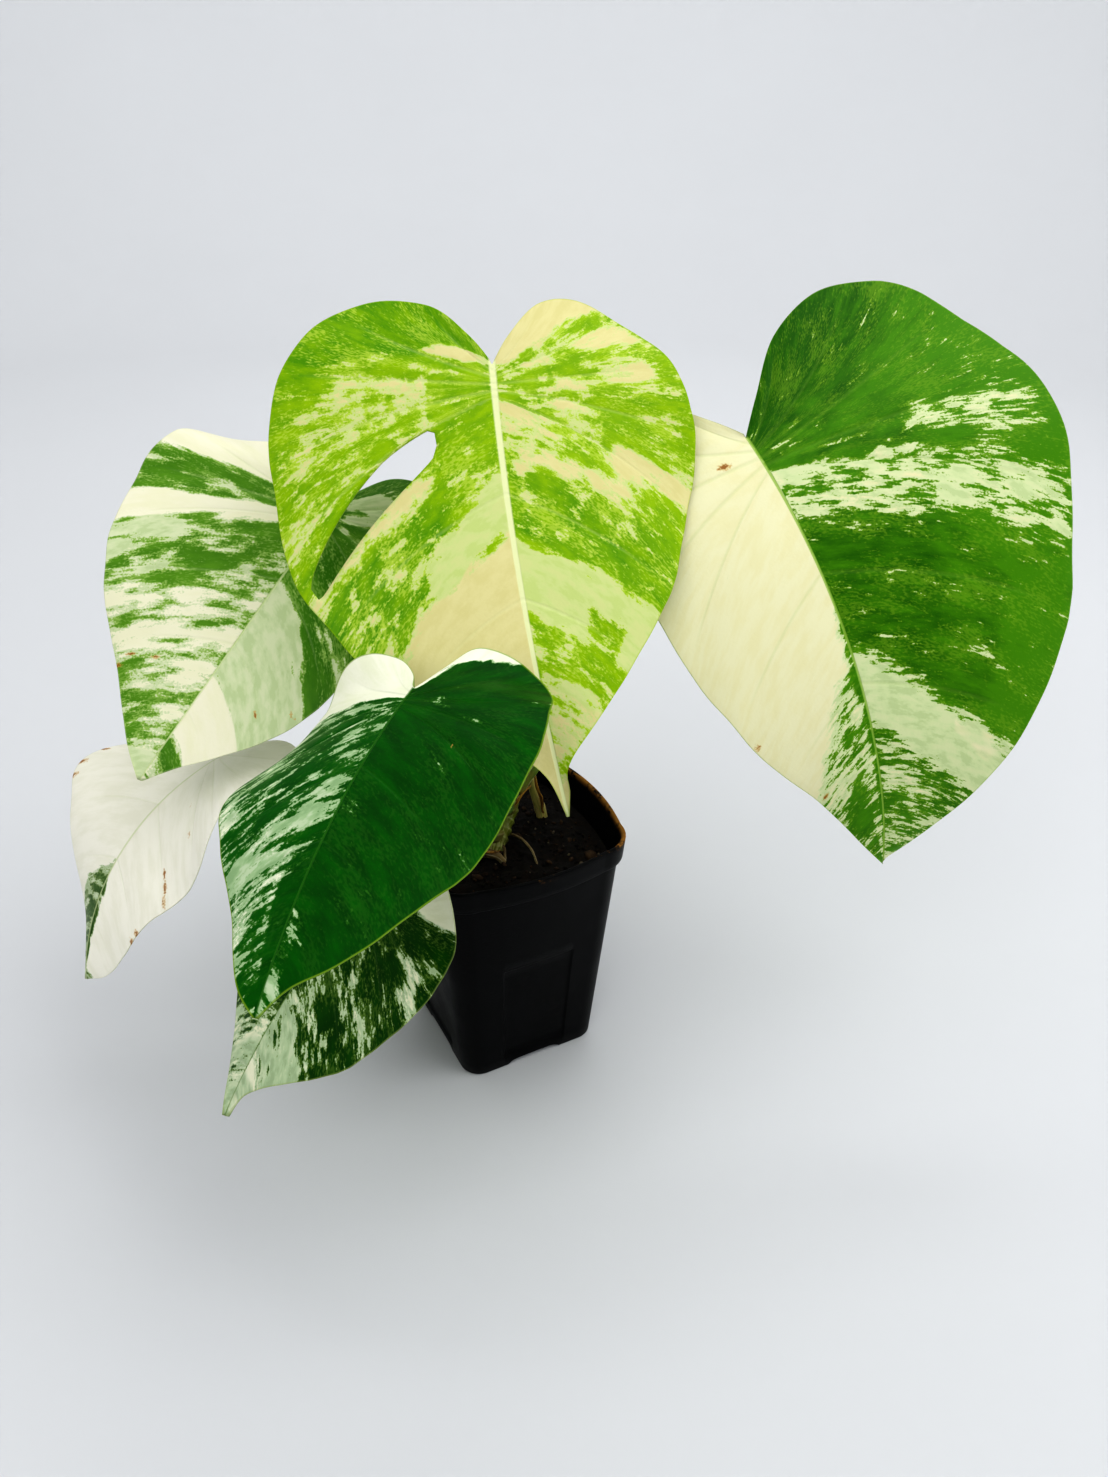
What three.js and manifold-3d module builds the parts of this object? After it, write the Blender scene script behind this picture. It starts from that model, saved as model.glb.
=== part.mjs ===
// A young variegated monstera in a black square nursery pot.
// Millimetres, +Z up. The origin is the middle of the pot's base, and the pot's walls face X and Y.

import * as THREE from 'three';
import { mergeVertices } from 'three/addons/utils/BufferGeometryUtils.js';
import Module from 'manifold-3d';

const wasm = await Module();
wasm.setup();

// Pot: a deep 9 cm nursery pot in thin plastic
const potHeight = 115;
const rimWidth = 90;
const baseWidth = 65;
const rimCorner = 14;
const baseCorner = 9;
const wallThickness = 1.3;
const floorTop = 5;
const baseHollow = 3.2;
const skirtThickness = 2.6;
const bossRadius = 9;
const rimBand = 11;
const rimLip = 2;
const wallBulge = 4;
const panelRecess = 0.8;
const panelBottom = 7;
const panelTop = 62;
const footArchWidth = 27;
const footArchHeight = 3;
const footArchDepth = 4;
const drainHole = 7;
const drainOffset = 15;

// Soil
const soilTop = 101;
const soilDome = 3;
const clearance = 0.5;
const holeRoom = 0.8;

// Blade section
const bladeThickness = 0.8;
const midribDepth = 1.5;
const midribWidth = 1.7;
const veinRows = 22;
const acrossSteps = [0, 0.03, 0.25, 0.44, 0.63, 0.81, 0.95, 1];
const fanEnd = 0.56;
const fanShare = 0.08;
const lobeShare = 0.18;
const halfWidthShare = 0.45;

// Petioles
const petioleSides = 8;
const jointGap = 0.35;

// Each leaf: where the blade joins its petiole, the plan heading of its midrib, how far the midrib
// dips below level there and how the blade rolls about it, then the bends along its length, in
// degrees. fold and curl hold one value each for the lobes, the joint, the middle and the tip, for
// the left and right half as seen from above with the tip towards the viewer. left and right are
// the margins of the flat blade, from the sinus to the tip, as distances along and across.
const leaves = [
  {
    name: 'leaf_center', colour: '#8fae3c',
    at: [7, 9, 304], heading: -110, dip: 46, roll: 1, length: 165,
    droop: 10, sweep: 10, twist: 0, back: 6,
    fold: { left: [-1, 0, 0, 0], right: [-5, 1, -2, 1] },
    curl: { left: [-11, -12, -14, -12], right: [-15, -10, -14, -12] },
    wave: { height: 1.2, count: 3.5, phase: 0.4 },
    left: [[-1.8, 0.8], [-12, 8], [-26, 22], [-30, 44], [-20, 65], [6, 79], [38, 82], [72, 77],
      [102, 58], [127, 34], [141, 13], [151, 4], [165, 0.4]],
    right: [[-1.8, 0.8], [-12, 7], [-27, 20], [-31, 37], [-19, 56], [7, 71], [38, 73], [71, 64],
      [102, 48], [128, 25], [147, 5], [157, 2.5], [165, 0.4]],
    slit: { side: 'left', row: 13, from: 2, to: 6, width: 0.015 },
  },
  {
    name: 'leaf_right', colour: '#4f7f2a',
    at: [93.4, -30.3, 275.8], heading: -78, dip: 38, roll: -24, length: 192,
    droop: 58, sweep: -10, twist: 10, back: 5,
    fold: { left: [-1, 1, 2, 0], right: [9, 6, 7, 5] },
    curl: { left: [-12, -11, -11, -12], right: [-7, -5, -8, -10] },
    wave: { height: 1.4, count: 3, phase: 1.1 },
    left: [[-1.8, 0.8], [-13, 9], [-29, 22], [-34, 38], [-23, 54], [7, 64], [44, 64], [83, 58],
      [119, 44], [150, 25], [175, 11], [192, 0.4]],
    right: [[-1.8, 0.8], [-13, 12], [-31, 32], [-38, 58], [-25, 86], [7, 104], [42, 110], [81, 97],
      [120, 77], [153, 48], [177, 20], [192, 0.4]],
  },
  {
    name: 'leaf_left', colour: '#b9c79a',
    at: [-44, 50, 248], heading: -147, dip: 29, roll: 16, length: 131,
    droop: 20, sweep: -11, twist: -5, back: 5,
    fold: { left: [-5, 6, 5, 0], right: [0, 2, 6, -3] },
    curl: { left: [-16, -5, -8, -12], right: [-12, -11, -9, -14] },
    wave: { height: 1.2, count: 3, phase: 2.0 },
    left: [[-1.8, 0.8], [-10, 7], [-21, 21], [-24, 41], [-16, 61], [4, 76], [30, 76], [57, 69],
      [82, 53], [104, 32], [121, 14], [131, 0.4]],
    right: [[-1.8, 0.8], [-10, 5], [-21, 14], [-24, 27], [-16, 40], [5, 48], [30, 49], [58, 46],
      [85, 38], [104, 24], [120, 9], [131, 0.4]],
  },
  {
    name: 'leaf_outer_white', colour: '#e6e8d8',
    at: [-101, 38, 156], heading: -178, dip: 16, roll: -7, length: 117,
    droop: 64, sweep: 4, twist: 6, back: 5,
    fold: { left: [0, -15, 18, -3], right: [-1, 8, -21, -31] },
    curl: { left: [0, 0, 0, 0], right: [0, 0, 0, 0] },
    wave: { height: 1, count: 3, phase: 0.7 },
    left: [[-1.8, 0.8], [-9, 5], [-19, 15], [-22, 29], [-14, 43], [5, 54], [29, 61], [50, 64],
      [65, 45], [88, 24], [107, 10], [117, 0.4]],
    right: [[-1.8, 0.8], [-9, 5], [-19, 14], [-22, 27], [-14, 39], [5, 48], [27, 51], [50, 45],
      [73, 34], [95, 24], [111, 12], [117, 0.4]],
  },
  {
    name: 'leaf_front_dark', colour: '#1f5a26',
    at: [-62, -77, 230], heading: -141, dip: 12, roll: -6, length: 111,
    droop: 32, sweep: 0, twist: 3, back: -14,
    fold: { left: [3, -9, -6, -7], right: [-11, 2, -7, 1] },
    curl: { left: [-11, -35, -12, -14], right: [-17, -10, -16, -12] },
    wave: { height: 1, count: 3, phase: 2.6 },
    left: [[-1.8, 0.8], [-8, 4.5], [-14, 13], [-15, 25], [-9, 37], [8, 47], [28, 52], [50, 50],
      [70, 37], [88, 22], [104, 10], [111, 0.4]],
    right: [[-1.8, 0.8], [-12, 4.5], [-23, 12], [-22, 26], [-13, 41], [6, 49], [27, 49], [51, 46],
      [72, 35], [91, 22], [102, 8], [111, 0.4]],
  },
  {
    name: 'leaf_lower_front', colour: '#3f7034',
    at: [-68, -40, 133], heading: -173, dip: 36, roll: -4, length: 108,
    droop: 22, sweep: 3, twist: 2, back: 4,
    fold: { left: [0, 0, 4, -1], right: [6, -5, -4, 5] },
    curl: { left: [-12, -12, -10, -11], right: [-9, -15, -15, -11] },
    wave: { height: 1, count: 3, phase: 1.5 },
    left: [[-1.8, 0.8], [-8, 5], [-17, 14], [-20, 27], [-13, 40], [4, 50], [25, 51], [47, 47],
      [67, 36], [85, 22], [98, 9], [108, 0.4]],
    right: [[-1.8, 0.8], [-8, 5], [-17, 14], [-19, 27], [-12, 41], [5, 51], [25, 53], [47, 48],
      [67, 36], [83, 19], [96, 6], [108, 0.4]],
  },
];

// The short main stem lies across the crown. Each petiole leaves it at a share of its length, or
// comes out of the soil by itself, passes the points of its route and turns up to its blade.
const stemRoute = [[-10, -12, 84], [-7, -8, 101], [0, -2, 110], [7, 4, 117], [10, 7, 127]];
const stemRadii = [4.2, 4.6, 4.8, 4.6, 3.6];
const petioles = [
  { name: 'petiole_center', leaf: 'leaf_center', colour: '#d9cf9a', radius: 2.3, top: 1.7, reach: 16,
    route: [[27, 7, 84], [25, 7, 102], [21, 9, 122], [16, 20, 180], [14, 33, 245]] },
  { name: 'petiole_right', leaf: 'leaf_right', colour: '#7d9a45', radius: 2.4, top: 1.8, reach: 16,
    from: 0.93, route: [[26, 2, 142], [58, 2, 196], [84, 0, 236]] },
  { name: 'petiole_left', leaf: 'leaf_left', colour: '#86a04c', radius: 2.3, top: 1.6, reach: 14,
    from: 0.86, route: [[-4, 24, 140], [-22, 48, 185], [-33, 58, 218]] },
  { name: 'petiole_outer_white', leaf: 'leaf_outer_white', colour: '#9aa85c', radius: 2.1, top: 1.3,
    reach: 10, from: 0.66, route: [[-18, 16, 128], [-52, 31, 146], [-80, 38, 149]] },
  { name: 'petiole_front_dark', leaf: 'leaf_front_dark', colour: '#5f8438', radius: 2.3, top: 1.6,
    reach: 12, from: 0.76, route: [[-8, -22, 134], [-48, -62, 182], [-62, -76, 205]] },
  { name: 'petiole_lower_front', leaf: 'leaf_lower_front', colour: '#6a8a40', radius: 2.0, top: 1.3,
    reach: 9, from: 0.5, route: [[-18, -20, 121], [-36, -29, 127], [-50, -36, 122]] },
];

const radians = (degrees) => degrees * Math.PI / 180;
const clamp01 = (x) => Math.min(Math.max(x, 0), 1);
const ease = (x) => {
  const t = clamp01(x);
  return t * t * (3 - 2 * t);
};

// Manifold solids from three.js geometry, and back
function toSolid(geometry) {
  const bare = new THREE.BufferGeometry();
  bare.setAttribute('position', geometry.attributes.position.clone());
  if (geometry.index) bare.setIndex(geometry.index.clone());
  const merged = mergeVertices(bare, 1e-5);
  const mesh = new wasm.Mesh({
    numProp: 3,
    vertProperties: new Float32Array(merged.attributes.position.array),
    triVerts: new Uint32Array(merged.index.array),
  });
  return new wasm.Manifold(mesh);
}

function toGeometry(solid) {
  const mesh = solid.getMesh();
  const geometry = new THREE.BufferGeometry();
  geometry.setAttribute('position', new THREE.BufferAttribute(new Float32Array(mesh.vertProperties), 3));
  geometry.setIndex(new THREE.BufferAttribute(new Uint32Array(mesh.triVerts), 1));
  geometry.computeVertexNormals();
  return geometry;
}

function addMesh(group, name, geometry, colour, roughness) {
  const material = new THREE.MeshStandardMaterial({ color: colour, roughness, metalness: 0 });
  const mesh = new THREE.Mesh(geometry, material);
  mesh.name = name;
  group.add(mesh);
}

// A closed skin over rings of equally many points: walls between rings, a fan over each end
function skinRings(rings) {
  const size = rings[0].length;
  const positions = rings.flat().flatMap((p) => [p.x, p.y, p.z]);
  const index = [];
  for (let i = 0; i < rings.length - 1; i += 1) {
    const below = i * size;
    const above = below + size;
    for (let k = 0; k < size; k += 1) {
      const next = (k + 1) % size;
      index.push(below + k, below + next, above + next);
      index.push(below + k, above + next, above + k);
    }
  }
  [0, rings.length - 1].forEach((i) => {
    const middle = new THREE.Vector3();
    rings[i].forEach((p) => middle.addScaledVector(p, 1 / size));
    const centre = positions.length / 3;
    positions.push(middle.x, middle.y, middle.z);
    for (let k = 0; k < size; k += 1) {
      const next = (k + 1) % size;
      if (i === 0) index.push(centre, next, k);
      else index.push(centre, i * size + k, i * size + next);
    }
  });
  const geometry = new THREE.BufferGeometry();
  geometry.setAttribute('position', new THREE.Float32BufferAttribute(positions, 3));
  geometry.setIndex(index);
  geometry.computeVertexNormals();
  return geometry;
}

// One level of the pot: a rounded square whose sides bulge with height and dish in at the panel
const sideSteps = [-0.68, -0.6, -0.3, 0, 0.3, 0.6, 0.68];
const cornerSteps = 3;

function potRing(z, inset, recess) {
  const share = z / potHeight;
  const half = THREE.MathUtils.lerp(baseWidth, rimWidth - 2 * rimLip, share) / 2 - inset;
  const corner = Math.max(THREE.MathUtils.lerp(baseCorner, rimCorner, share) - inset, 1);
  const straight = half - corner;
  const bulge = wallBulge * share * share;
  const ring = [];
  for (let side = 0; side < 4; side += 1) {
    const turn = side * Math.PI / 2;
    const place = (x, y) => {
      const cos = Math.cos(turn);
      const sin = Math.sin(turn);
      ring.push(new THREE.Vector3(x * cos - y * sin, x * sin + y * cos, z));
    };
    sideSteps.forEach((t) => {
      const dish = Math.abs(t) <= 0.61 ? recess : 0;
      place(half + bulge * (1 - t * t) - dish, t * straight);
    });
    for (let k = 0; k <= cornerSteps; k += 1) {
      const angle = k / cornerSteps * Math.PI / 2;
      place(straight + corner * Math.cos(angle), straight + corner * Math.sin(angle));
    }
  }
  return ring;
}

function potShell() {
  const bandBottom = potHeight - rimBand;
  const rings = [
    potRing(0, 0.8, 0),
    potRing(0.9, 0, 0),
    potRing(panelBottom, 0, 0),
    potRing(panelBottom + 1, 0, panelRecess),
    potRing(panelTop, 0, panelRecess),
    potRing(panelTop + 1.5, 0, 0),
    potRing(bandBottom, 0, 0),
    potRing(bandBottom + 0.6, -rimLip, 0),
    potRing(potHeight - 0.8, -rimLip, 0),
    potRing(potHeight, 0.7 - rimLip, 0),
    potRing(potHeight, wallThickness - rimLip + 0.2, 0),
    potRing(potHeight - 0.9, wallThickness - rimLip + 0.7, 0),
    potRing(bandBottom + 0.6, wallThickness, 0),
    potRing(84, wallThickness, 0),
    potRing(panelTop, wallThickness + panelRecess, 0),
    potRing(panelBottom, wallThickness + panelRecess, 0),
    potRing(floorTop, wallThickness + panelRecess, 0),
  ];
  return toSolid(skinRings(rings));
}

// The base: its underside is hollow but for a round boss, a low arch under the middle of each
// side leaves four corner feet, and four holes drain it
function roundedSquare(half, corner) {
  const shape = new THREE.Shape();
  const inner = half - corner;
  shape.absarc(inner, inner, corner, 0, Math.PI / 2);
  shape.absarc(-inner, inner, corner, Math.PI / 2, Math.PI);
  shape.absarc(-inner, -inner, corner, Math.PI, Math.PI * 1.5);
  shape.absarc(inner, -inner, corner, Math.PI * 1.5, Math.PI * 2);
  return shape;
}

function underside() {
  const shape = roundedSquare(baseWidth / 2 - skirtThickness, baseCorner - skirtThickness);
  const boss = new THREE.Path();
  boss.absarc(0, 0, bossRadius, 0, Math.PI * 2, true);
  shape.holes.push(boss);
  const settings = { depth: baseHollow + 1, bevelEnabled: false, curveSegments: 5 };
  const hollow = new THREE.ExtrudeGeometry(shape, settings);
  hollow.translate(0, 0, -1);
  return toSolid(hollow);
}

function footArch(side) {
  const shape = new THREE.Shape();
  shape.moveTo(-footArchWidth / 2, -1);
  shape.lineTo(-footArchWidth / 2, 0);
  shape.quadraticCurveTo(-footArchWidth / 3, footArchHeight, 0, footArchHeight);
  shape.quadraticCurveTo(footArchWidth / 3, footArchHeight, footArchWidth / 2, 0);
  shape.lineTo(footArchWidth / 2, -1);
  const arch = new THREE.ExtrudeGeometry(shape, { depth: 12, bevelEnabled: false, curveSegments: 5 });
  arch.rotateX(Math.PI / 2);
  arch.translate(0, footArchDepth - baseWidth / 2, 0);
  arch.rotateZ(side * Math.PI / 2);
  return toSolid(arch);
}

function drainHoles() {
  const holes = [];
  [[1, 1], [-1, 1], [-1, -1], [1, -1]].forEach(([x, y]) => {
    const hole = new THREE.CylinderGeometry(drainHole / 2, drainHole / 2, 12, 12);
    hole.rotateX(Math.PI / 2);
    hole.translate(x * drainOffset, y * drainOffset, 0);
    holes.push(toSolid(hole));
  });
  return holes;
}

function makePot() {
  let pot = potShell().subtract(underside());
  for (let side = 0; side < 4; side += 1) pot = pot.subtract(footArch(side));
  drainHoles().forEach((hole) => {
    pot = pot.subtract(hole);
  });
  return toGeometry(pot);
}

const curveThrough = (points) => new THREE.CatmullRomCurve3(points.map((p) => new THREE.Vector3(...p)));

function radiusAt(radii, share) {
  const profile = new THREE.SplineCurve(radii.map((r, i) => new THREE.Vector2(i / (radii.length - 1), r)));
  return profile.getPoint(share).y;
}

// A round bar along a smooth route, from rings carried along the curve
function barAlong(points, radii, steps, sides) {
  const curve = curveThrough(points);
  const frames = curve.computeFrenetFrames(steps, false);
  const rings = [];
  for (let i = 0; i <= steps; i += 1) {
    const centre = curve.getPointAt(i / steps);
    const radius = radiusAt(radii, i / steps);
    const ring = [];
    for (let k = 0; k < sides; k += 1) {
      const angle = k / sides * 2 * Math.PI;
      const p = centre.clone();
      p.addScaledVector(frames.normals[i], radius * Math.cos(angle));
      p.addScaledVector(frames.binormals[i], radius * Math.sin(angle));
      ring.push(p);
    }
    rings.push(ring);
  }
  return skinRings(rings);
}

// Bent blades. u runs along the midrib from the joint to the tip and v across it, to the right
// positive. The midrib bends down by droop, turns by sweep and twists evenly along its length, and
// the lobes behind the joint bend back. Across each half the blade follows an arc that starts at
// the fold angle and turns by the curl angle over the half's width.
function makeBlade(leaf) {
  const heading = radians(leaf.heading);
  const dip = radians(leaf.dip);
  const roll = radians(leaf.roll);
  const along = new THREE.Vector3(
    Math.cos(heading) * Math.cos(dip),
    Math.sin(heading) * Math.cos(dip),
    -Math.sin(dip),
  );
  const level = new THREE.Vector3(
    Math.cos(heading) * Math.sin(dip),
    Math.sin(heading) * Math.sin(dip),
    Math.cos(dip),
  );
  const side = new THREE.Vector3().crossVectors(level, along);
  const face = level.multiplyScalar(Math.cos(roll)).addScaledVector(side, Math.sin(roll));
  const across = new THREE.Vector3().crossVectors(face, along);
  const lobe = lobeShare * leaf.length;

  function frameAt(u) {
    const share = Math.max(u / leaf.length, 0);
    const behind = Math.max(-u / lobe, 0);
    const bend = radians(leaf.droop * share - leaf.back * behind);
    const sweep = radians(leaf.sweep * share);
    const twist = radians(leaf.twist * share);
    const ahead = along.clone().multiplyScalar(Math.cos(sweep)).addScaledVector(across, Math.sin(sweep));
    const aside = across.clone().multiplyScalar(Math.cos(sweep)).addScaledVector(along, -Math.sin(sweep));
    const t = ahead.clone().multiplyScalar(Math.cos(bend)).addScaledVector(face, -Math.sin(bend));
    const up = ahead.multiplyScalar(Math.sin(bend)).addScaledVector(face, Math.cos(bend));
    const a = aside.clone().multiplyScalar(Math.cos(twist)).addScaledVector(up, Math.sin(twist));
    const n = up.multiplyScalar(Math.cos(twist)).addScaledVector(aside, -Math.sin(twist));
    return { t, a, n };
  }

  function spineAt(u) {
    const steps = Math.max(Math.ceil(Math.abs(u) / 2), 1);
    const point = new THREE.Vector3(...leaf.at);
    for (let k = 0; k < steps; k += 1) {
      point.addScaledVector(frameAt(u * (k + 0.5) / steps).t, u / steps);
    }
    return point;
  }

  function valueAt(values, u) {
    const places = [-lobe, 0, leaf.length / 2, leaf.length];
    let value = values[0];
    for (let k = 0; k < 3; k += 1) {
      value += (values[k + 1] - values[k]) * ease((u - places[k]) / (places[k + 1] - places[k]));
    }
    return value;
  }

  function sectionAt(u, width, name) {
    const start = radians(valueAt(leaf.fold[name], u));
    let turn = radians(valueAt(leaf.curl[name], u)) / (halfWidthShare * leaf.length);
    if (Math.abs(turn) < 1e-6) turn = 1e-6;
    const end = start + turn * width;
    return {
      out: (Math.sin(end) - Math.sin(start)) / turn,
      rise: (Math.cos(start) - Math.cos(end)) / turn,
      angle: end,
    };
  }

  // The point at u, v with the surface's own normal; on the midrib the two halves are averaged
  return function placeAt(u, v, name) {
    const { a, n } = frameAt(u);
    const sign = name === 'left' ? -1 : 1;
    const section = sectionAt(u, v, name);
    const point = spineAt(u).addScaledVector(a, sign * section.out).addScaledVector(n, section.rise);
    let angle = sign * section.angle;
    if (v === 0) angle = (sectionAt(u, 0, 'right').angle - sectionAt(u, 0, 'left').angle) / 2;
    const normal = n.clone().multiplyScalar(Math.cos(angle)).addScaledVector(a, -Math.sin(angle));
    return { point, normal };
  };
}

// Where a side vein runs in the flat blade: it leaves the midrib at a place that follows its share s
// of the margin, and curves out to the margin. b goes from 0 at the midrib to 1 at the margin.
function makeVeins(leaf, name) {
  const margin = new THREE.SplineCurve(leaf[name].map((p) => new THREE.Vector2(...p)));
  margin.arcLengthDivisions = 400;
  return function flatAt(s, b) {
    const fan = fanShare * Math.min(s / fanEnd, 1);
    const rest = (1 - fanShare) * Math.max((s - fanEnd) / (1 - fanEnd), 0);
    const start = new THREE.Vector2((fan + rest) * leaf.length, 0);
    const end = margin.getPointAt(s);
    const bend = new THREE.Vector2(start.x + 0.35 * (end.x - start.x), 0.6 * end.y);
    const vein = new THREE.QuadraticBezierCurve(start, bend, end);
    return vein.getPoint(b);
  };
}

// Two neighbouring veins part round a slit: blunt and wide at its inner end, closed at the margin
function slitShift(leaf, name, row, b) {
  const s = row / veinRows;
  const slit = leaf.slit;
  if (!slit || slit.side !== name) return s;
  const inner = acrossSteps[slit.from];
  const outer = acrossSteps[slit.to];
  const x = clamp01((b - inner) / (outer - inner));
  const half = 0.004 + slit.width * Math.sqrt(Math.sin(Math.PI * x ** 0.6));
  const middle = 0.57 + 0.05 * b ** 1.5;
  const before = slit.row / veinRows;
  const after = (slit.row + 1) / veinRows;
  const moved = row <= slit.row
    ? s * (middle - half) / before
    : 1 - (1 - s) * (1 - middle - half) / (1 - after);
  const inside = ease(b / inner) * (1 - ease((b - outer) / (1 - outer)));
  return THREE.MathUtils.lerp(s, moved, inside);
}

function isSlitCell(leaf, name, row, step) {
  const slit = leaf.slit;
  return Boolean(slit) && slit.side === name && row === slit.row && step >= slit.from && step < slit.to;
}

// The blade as a closed sheet: a grid of veins by steps across, an upper and an under face split
// alike, and a wall along every free edge. The midrib stands out of the under face.
function makeLeaf(leaf) {
  const placeAt = makeBlade(leaf);
  const veins = { left: makeVeins(leaf, 'left'), right: makeVeins(leaf, 'right') };
  const half = acrossSteps.length - 1;
  const columns = 2 * half + 1;
  const count = (veinRows + 1) * columns;
  const positions = new Array(count * 6);
  for (let i = 0; i <= veinRows; i += 1) {
    for (let j = 0; j < columns; j += 1) {
      const name = j < half ? 'left' : 'right';
      const b = acrossSteps[Math.abs(j - half)];
      const s = slitShift(leaf, name, i, b);
      const flat = veins[name](s, b);
      const { point, normal } = placeAt(flat.x, b === 0 ? 0 : flat.y, name);
      const sign = name === 'left' ? 1 : -1;
      const swing = Math.sin(2 * Math.PI * leaf.wave.count * s + sign * leaf.wave.phase);
      const wave = leaf.wave.height * b * b * swing;
      const taper = 1 - 0.75 * clamp01(flat.x / leaf.length);
      const ridge = midribDepth * taper * Math.exp(-((flat.y / midribWidth) ** 2));
      const top = point.clone().addScaledVector(normal, wave + bladeThickness / 2);
      const under = point.addScaledVector(normal, wave - bladeThickness / 2 - ridge);
      const k = (i * columns + j) * 3;
      top.toArray(positions, k);
      under.toArray(positions, k + count * 3);
    }
  }
  const index = [];
  const present = (i, j) => {
    if (i < 0 || j < 0 || i >= veinRows || j >= columns - 1) return false;
    const name = j < half ? 'left' : 'right';
    const step = j < half ? half - 1 - j : j - half;
    return !isSlitCell(leaf, name, i, step);
  };
  const wall = (p, q) => index.push(p, p + count, q + count, p, q + count, q);
  for (let i = 0; i < veinRows; i += 1) {
    for (let j = 0; j < columns - 1; j += 1) {
      if (!present(i, j)) continue;
      const p = i * columns + j;
      const q = p + columns;
      index.push(p, q, q + 1, p, q + 1, p + 1);
      index.push(p + count, q + 1 + count, q + count, p + count, p + 1 + count, q + 1 + count);
      if (!present(i, j - 1)) wall(p, q);
      if (!present(i + 1, j)) wall(q, q + 1);
      if (!present(i, j + 1)) wall(q + 1, p + 1);
      if (!present(i - 1, j)) wall(p + 1, p);
    }
  }
  const geometry = new THREE.BufferGeometry();
  geometry.setAttribute('position', new THREE.Float32BufferAttribute(positions, 3));
  geometry.setIndex(index);
  geometry.computeVertexNormals();
  return geometry;
}

// A petiole from its root on the stem or in the soil to just under its blade's midrib
function petioleRoute(petiole) {
  const leaf = leaves.find((one) => one.name === petiole.leaf);
  const joint = makeBlade(leaf)(3, 0, 'right');
  const drop = bladeThickness / 2 + midribDepth + jointGap;
  const end = joint.point.clone().addScaledVector(joint.normal, -drop);
  const turn = end.clone().addScaledVector(joint.normal, -petiole.reach);
  const route = petiole.route.map((p) => new THREE.Vector3(...p));
  if (petiole.from !== undefined) {
    const stem = curveThrough(stemRoute);
    const centre = stem.getPointAt(petiole.from);
    const axis = stem.getTangentAt(petiole.from);
    const aim = route[0].clone().sub(centre).normalize();
    const radial = aim.clone().addScaledVector(axis, -aim.dot(axis)).normalize();
    const tilt = petiole.radius * 1.2 * Math.abs(aim.dot(axis));
    const away = radiusAt(stemRadii, petiole.from) + jointGap + tilt;
    route.unshift(centre.addScaledVector(radial, away));
  }
  return [...route, turn, end].map((p) => p.toArray());
}

function petioleRadii(petiole) {
  const { radius, top } = petiole;
  return [radius * 1.2, radius, radius * 0.9, (radius + top) / 2, top, top * 1.1, top];
}

// Soil: fills the pot to below the rim, with a lumpy domed top and plain holes for what stands in it
function soilLump(x, y) {
  return 0.7 * Math.sin(0.31 * x + 1.3) * Math.cos(0.27 * y - 0.4)
    + 0.45 * Math.sin(0.63 * x - 0.5 * y + 0.8) + 0.3 * Math.cos(0.9 * y + 0.4 * x);
}

function soilBody() {
  const inset = wallThickness + clearance;
  const rings = [
    potRing(floorTop + clearance, inset + panelRecess, 0),
    potRing(panelBottom, inset + panelRecess, 0),
    potRing(panelTop, inset + panelRecess, 0),
    potRing(84, inset, 0),
    potRing(soilTop - 1.5, inset, 0),
  ];
  const edge = potRing(soilTop, inset + 0.6, 0);
  [1, 0.84, 0.66, 0.46, 0.24].forEach((share) => {
    rings.push(edge.map((p) => {
      const x = p.x * share;
      const y = p.y * share;
      const rise = soilDome * (1 - share * share) + (share < 1 ? soilLump(x, y) : 0);
      return new THREE.Vector3(x, y, soilTop + rise);
    }));
  });
  return toSolid(skinRings(rings));
}

function makeHole(route, radii) {
  const start = new THREE.Vector3(...route[0]);
  const next = new THREE.Vector3(...route[1]);
  const deeper = start.clone().addScaledVector(next.sub(start).normalize(), -0.8);
  const wide = [radii[0], ...radii].map((r) => r + holeRoom);
  return toSolid(barAlong([deeper.toArray(), ...route], wide, 12, 12));
}

// Bits of bark and pumice lie half sunk in the soil, spread by a seeded draw
function makeRandom(seed) {
  let state = seed;
  return () => {
    state = (state * 16807) % 2147483647;
    return state / 2147483647;
  };
}

function barkChips() {
  const random = makeRandom(41);
  const chips = [];
  while (chips.length < 13) {
    const x = (random() - 0.5) * 66;
    const y = (random() - 0.5) * 66;
    const size = 2.4 + 2.6 * random();
    const chip = new THREE.BoxGeometry(size * 1.5, size, size * 0.7);
    chip.rotateX((random() - 0.5) * 0.8);
    chip.rotateY((random() - 0.5) * 0.8);
    chip.rotateZ(random() * Math.PI);
    const share = Math.min(Math.hypot(x, y) / 42, 1);
    chip.translate(x, y, soilTop + soilDome * (1 - share * share) + soilLump(x, y) * 0.6);
    const nearStem = Math.hypot(x + 3, y + 3) < 13 || Math.hypot(x - 25, y - 7) < 7;
    if (!nearStem) chips.push(toSolid(chip));
  }
  return chips;
}

function makeSoil() {
  let soil = soilBody();
  barkChips().forEach((chip) => {
    soil = soil.add(chip);
  });
  soil = soil.subtract(makeHole(stemRoute, stemRadii));
  petioles.filter((petiole) => petiole.from === undefined).forEach((petiole) => {
    const radii = petioleRadii(petiole).slice(0, 3);
    soil = soil.subtract(makeHole(petiole.route.slice(0, 3), radii));
  });
  return toGeometry(soil);
}

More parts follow.
